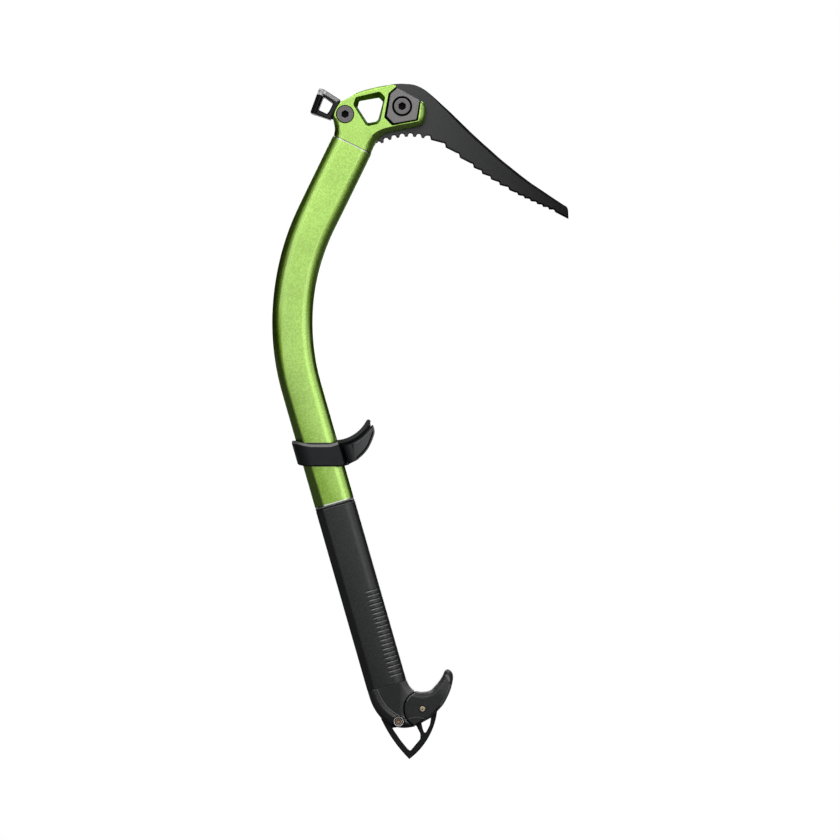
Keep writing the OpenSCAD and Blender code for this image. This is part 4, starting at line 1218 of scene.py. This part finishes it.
# points of a painted highlight near the tip
TIP_HIGHLIGHT = [(55.3, -418.6), (56.6, -420.0), (57.6, -422.2)]
HORN_LINE = [(24.0, -451.8), (27.9, -450.9), (33.8, -449.7), (39.2, -450.9), (44.0, -449.0)]


def make_horn():
    outer = curve(HORN_TOP, 0.6)
    seam = arc(HUB, SEAM_IN, 252, 112.5, 48)
    loop = resample(np.vstack([outer, seam]), 0.6)
    tip = int(np.argmax(outer[:, 1]))
    palm, heel = outer[:tip + 1], outer[tip:]
    line = curve(HORN_LINE, 0.5)
    rows = np.vstack([offset(line, d) for d in (-0.6, -0.25, 0.0, 0.25, 0.6)])

    def height(p):
        full = HORN_HALF - 3.0 * smoothstep(16, 36, reach(p, HUB))
        d_heel = distance(p, heel)
        h = full - HEEL_SLOPE * np.clip(HEEL_WIDE - d_heel, 0, HEEL_WIDE)
        h = np.minimum(h, h * dome(d_heel, HEEL_ROUND) ** 0.9)
        h = np.minimum(h, full * dome(distance(p, palm), PALM_ROUND) ** 0.8)
        h = h - 0.45 * fall(distance(p, seam), SEAM_WIDE)
        return h - FOLD_DEEP * smoothstep(0.3, -0.3, signed(p, line))

    shell = Build().relief(loop, height, (0.08, 0.3, 0.7, 1.3, 1.9, 2.4, 3.0, 4.0), 0.75, rows)
    obj = shell.piece("horn_shell")
    # ring behind the seam, which gets painted shade
    lip = [arc(HUB, SEAM_OUT - 0.2, 117, 245, 48), arc(HUB, SEAM_IN - 1.2, 245, 117, 48)]
    end = [arc(HUB, SEAM_OUT - 0.15, 115.8, 118, 8), arc(HUB, SEAM_IN - 1.2, 118, 115.8, 8)]
    combine(obj, [across(np.vstack(lip), LIP_HALF), across(np.vstack(end), LIP_END)], "UNION")
    slot = np.vstack([arc(HUB, HORN_SLOT, -90, 90, 40), HUB + (-40, HORN_SLOT),
                      HUB + (-40, -HORN_SLOT)])
    cuts = [across(slot, HORN_ROOM)] + both_sides(circle(HUB, PIN_SEAT), PIN_SEAT_Y, THROUGH)
    combine(obj, cuts + [across(circle(HUB, PIN_BORE), THROUGH)])
    # painted shade on the ring behind the seam; the heel bevel takes a paler plastic that is partly
    # scuff and partly painted highlight, and the tip, the fold line and the seam's edge take
    # painted highlights
    xz, y, n = faces_of(obj)
    out, over = reach(xz, HUB), signed(xz, line)
    dark = between(SEAM_IN - SKIN, out, SEAM_OUT) & (np.abs(y) < LIP_HALF + 1.9)
    dark &= xz[:, 0] < HUB[0]
    turn = np.degrees(np.arctan2(xz[:, 1] - HUB[1], xz[:, 0] - HUB[0]))
    scuff_and_highlight = (distance(xz, heel) < 2.3) & (out > SEAM_IN) & (xz[:, 1] < TIP_FOOT)
    scuff_and_highlight |= (distance(xz, TIP_HIGHLIGHT) < 0.8) | between(0.2, over, 0.62)
    scuff_and_highlight |= between(SEAM_IN - 0.6, out, SEAM_IN) & between(114, turn, 152)
    paint(obj, np.where(scuff_and_highlight & (np.abs(n[:, 1]) > 0.25), 2, dark))
    shade(obj, 32)
    place(obj, "horn", [POMMEL, SHADE_BLACK, SCUFF_AND_HIGHLIGHT], ["horn"])


# outline and openings of the spike, along the front and up directions from the foot of the grip
SPIKE_TOP = [(-6, 26), (6, 26), (6, -13), (14, -14.5), (20, -15.5), (25, -17), (28.5, -21.5),
             (30, -26)]
SPIKE_TIP = (0.85, -57.04)
SPIKE_SIDE = [(-11.1, -23), (-6, -12.5)]
SPIKE_WINDOW = [(-5, -31.4, 0.6), (-1.4, -42.3, 24), (1.7, -49.4, 5), (3.2, -51.6, 1.0),
                (12.7, -45.2, 1.6), (13.9, -41.5, 4), (13.5, -39, 9), (12.6, -34.4, 0.6)]
SPIKE_CLIP = [(17, -32.5, 0.5), (16.6, -38.3, 12), (16.9, -41.8, 1.0), (18.6, -41.2, 1.5),
              (22.6, -36.9, 9), (25.2, -31, 0.5)]
SPIKE_HALF = 1.8


def make_spike():
    edge = np.vstack([SPIKE_TOP, arc((-17.4, -8.4), 52, -20.9, -69.0, 40), [SPIKE_TIP],
                      arc((91.6, -6.6), 103.8, 208.7, 189.1, 40), SPIKE_SIDE])
    holes = [bevelled(low(FOOT, round_corners(h, 7)), [(0, 0.45), (0.4, 0)])
             for h in (SPIKE_WINDOW, SPIKE_CLIP)]
    holes += [[(circle(mid, r, 24), 0.0)] for mid, r in ((FOOT_BOLT, 3.85), (HUB, 1.75))]
    bevel = [(0, 0.45), (0.45, 0)]
    plate = Build().plate(low(FOOT, edge), -SPIKE_HALF, SPIKE_HALF, bevel, holes=holes)
    obj = plate.piece("spike_plate")
    shade(obj, 24)
    place(obj, "tool", [SPIKE], ["spike"])


make_shaft()
make_grip()
make_head()
make_weight("near", -1)
make_weight("far", 1)
make_pick()
make_hammer()
make_rest()
make_lever()
make_pommel()
make_horn()
make_foot_bolts()
make_spike()
for node, body, slot, mat, bevel in (
        ("pick_nut", "tool", "grey_steel", BOLT, 0.4),
        ("hammer_nut", "tool", "grey_steel", BOLT, 0.4),
        ("rest_liner", "rest", "grip_rubber", RUBBER, 0.1),
        ("rest_barrel", "rest", "grey_steel", BOLT, 0.3),
        ("rest_screw", "rest", "grey_steel", BOLT, 0.25),
        ("shaft_plug", "tool", "plug_metal", BARE, 0.3),
        ("tang_pin", "tool", "grey_steel", BOLT, 0.3),
        ("horn_washers", "tool", "grey_steel", BRIGHT, 0.08)):
    from_cad(node, body, mat, bevel)
from_cad("pick_bolt", "tool", BOLT, 0.4, dark=(PICK_BOLT, 3.1, -8.6))
from_cad("hammer_bolt", "tool", BOLT, 0.4, dark=(HAMMER_BOLT, 3.1, -9.4))


# ---- stage ----

WHITE = (1, 1, 1, 1)
DIM = (0.005, 0.005, 0.005, 1)


def seen_apart(tree, lit, seen, out):
    """Shows one shader to the camera, while another one lights the object."""
    path, mix = add(tree, "LightPath"), add(tree, "MixShader")
    join(tree, (path, "Is Camera Ray", mix, "Fac"), (lit, 0, mix, 1), (seen, 0, mix, 2),
         (mix, "Shader", out, "Surface"))


def floor_material():
    """Pale floor that looks even, and that lights the object less, least of all from beside it."""
    mat = bpy.data.materials.new("pale_floor")
    mat.use_nodes = True
    tree = mat.node_tree
    shader = tree.nodes["Principled BSDF"]
    shader.inputs["Roughness"].default_value = 0.9
    spot, part, depth = add(tree, "TexCoord"), add(tree, "SeparateXYZ"), add(tree, "Math")
    depth.operation = "ABSOLUTE"
    level = add(tree, "MapRange", From_Min=0.45, From_Max=1.0, To_Min=0.05, To_Max=0.4)
    join(tree, (spot, "Object", part, "Vector"), (part, "Y", depth, 0),
         (depth, "Value", level, "Value"), (level, "Result", shader, "Base Color"))
    seen_apart(tree, shader, add(tree, "Emission", Color=WHITE), tree.nodes["Material Output"])
    return mat


FLOOR_Z = cad_box[0].z - 0.002
FLOOR_HALF = 6
floor_mesh = bpy.data.meshes.new("floor")
floor_mesh.from_pydata([(FLOOR_HALF * i, FLOOR_HALF * j, FLOOR_Z)
                        for i, j in ((-1, -1), (1, -1), (1, 1), (-1, 1))], [], [(0, 1, 2, 3)])
floor = new_object("floor", floor_mesh)
floor_mesh.materials.append(floor_material())

world = bpy.data.worlds.new("studio")
bpy.context.scene.world = world
world.use_nodes = True
room = world.node_tree
room.nodes.clear()
seen_apart(room, add(room, "Background", Color=DIM), add(room, "Background", Color=WHITE),
           add(room, "OutputWorld"))

MIDDLE = (0.036, 0.0, -0.230)
# name, place, aim, size and power of each soft light
LIGHTS = [("front_box", (0.0, -1.95, 0.62), (0.0, 0.0, 0.62), (1.2, 1.82), 8.4),
          ("right_box", (1.05, -1.65, 0.52), (0.0, 0.0, 0.52), (1.3, 1.8), 12),
          ("left_box", (-1.05, -1.65, 0.75), (0.0, 0.0, 0.75), (1.3, 1.6), 9),
          ("right_end", (1.75, -0.85, 0.55), (0.0, 0.0, 0.55), (0.8, 1.5), 3.4),
          ("right_side", (1.95, -0.32, 0.55), (0.0, 0.0, 0.55), (0.7, 1.3), 1.3),
          ("left_end", (-1.75, -0.85, 1.0), (0.0, 0.0, 1.0), (0.8, 1.4), 1.6),
          ("brow_strip", (0.0, -1.4, 1.38), MIDDLE, (2.4, 0.4), 19),
          ("back_right", (1.1, 1.2, 1.5), MIDDLE, (0.9, 0.9), 13),
          ("back_left", (-1.1, 1.2, 1.5), MIDDLE, (0.9, 0.9), 13),
          ("back_box", (0.0, 2.3, 0.15), (0.0, 0.0, 0.15), (1.5, 1.5), 14),
          ("top_box", (0.0, 0.25, 2.0), (0.0, 0.0, 0.0), (1.4, 1.0), 7)]
for name, at, aim, size, power in LIGHTS:
    data = bpy.data.lights.new(name, "AREA")
    data.shape = "RECTANGLE"
    data.size, data.size_y = size
    data.energy = power
    light = new_object(name, data)
    light.location = at
    light.rotation_mode = "QUATERNION"
    light.rotation_quaternion = (Vector(aim) - Vector(at)).to_track_quat("-Z", "Y")
    light.visible_camera = False

CAMERA_FAR = 3.0
FIELD = 0.6216
SENSOR = 36
camera_data = bpy.data.cameras.new("camera")
camera_data.sensor_width = SENSOR
camera_data.lens = SENSOR * CAMERA_FAR / FIELD
camera = new_object("camera", camera_data)
camera.location = (MIDDLE[0], -CAMERA_FAR, MIDDLE[2])
camera.rotation_euler = (math.pi / 2, 0, 0)
bpy.context.scene.camera = camera
bpy.context.scene.view_settings.view_transform = "Standard"
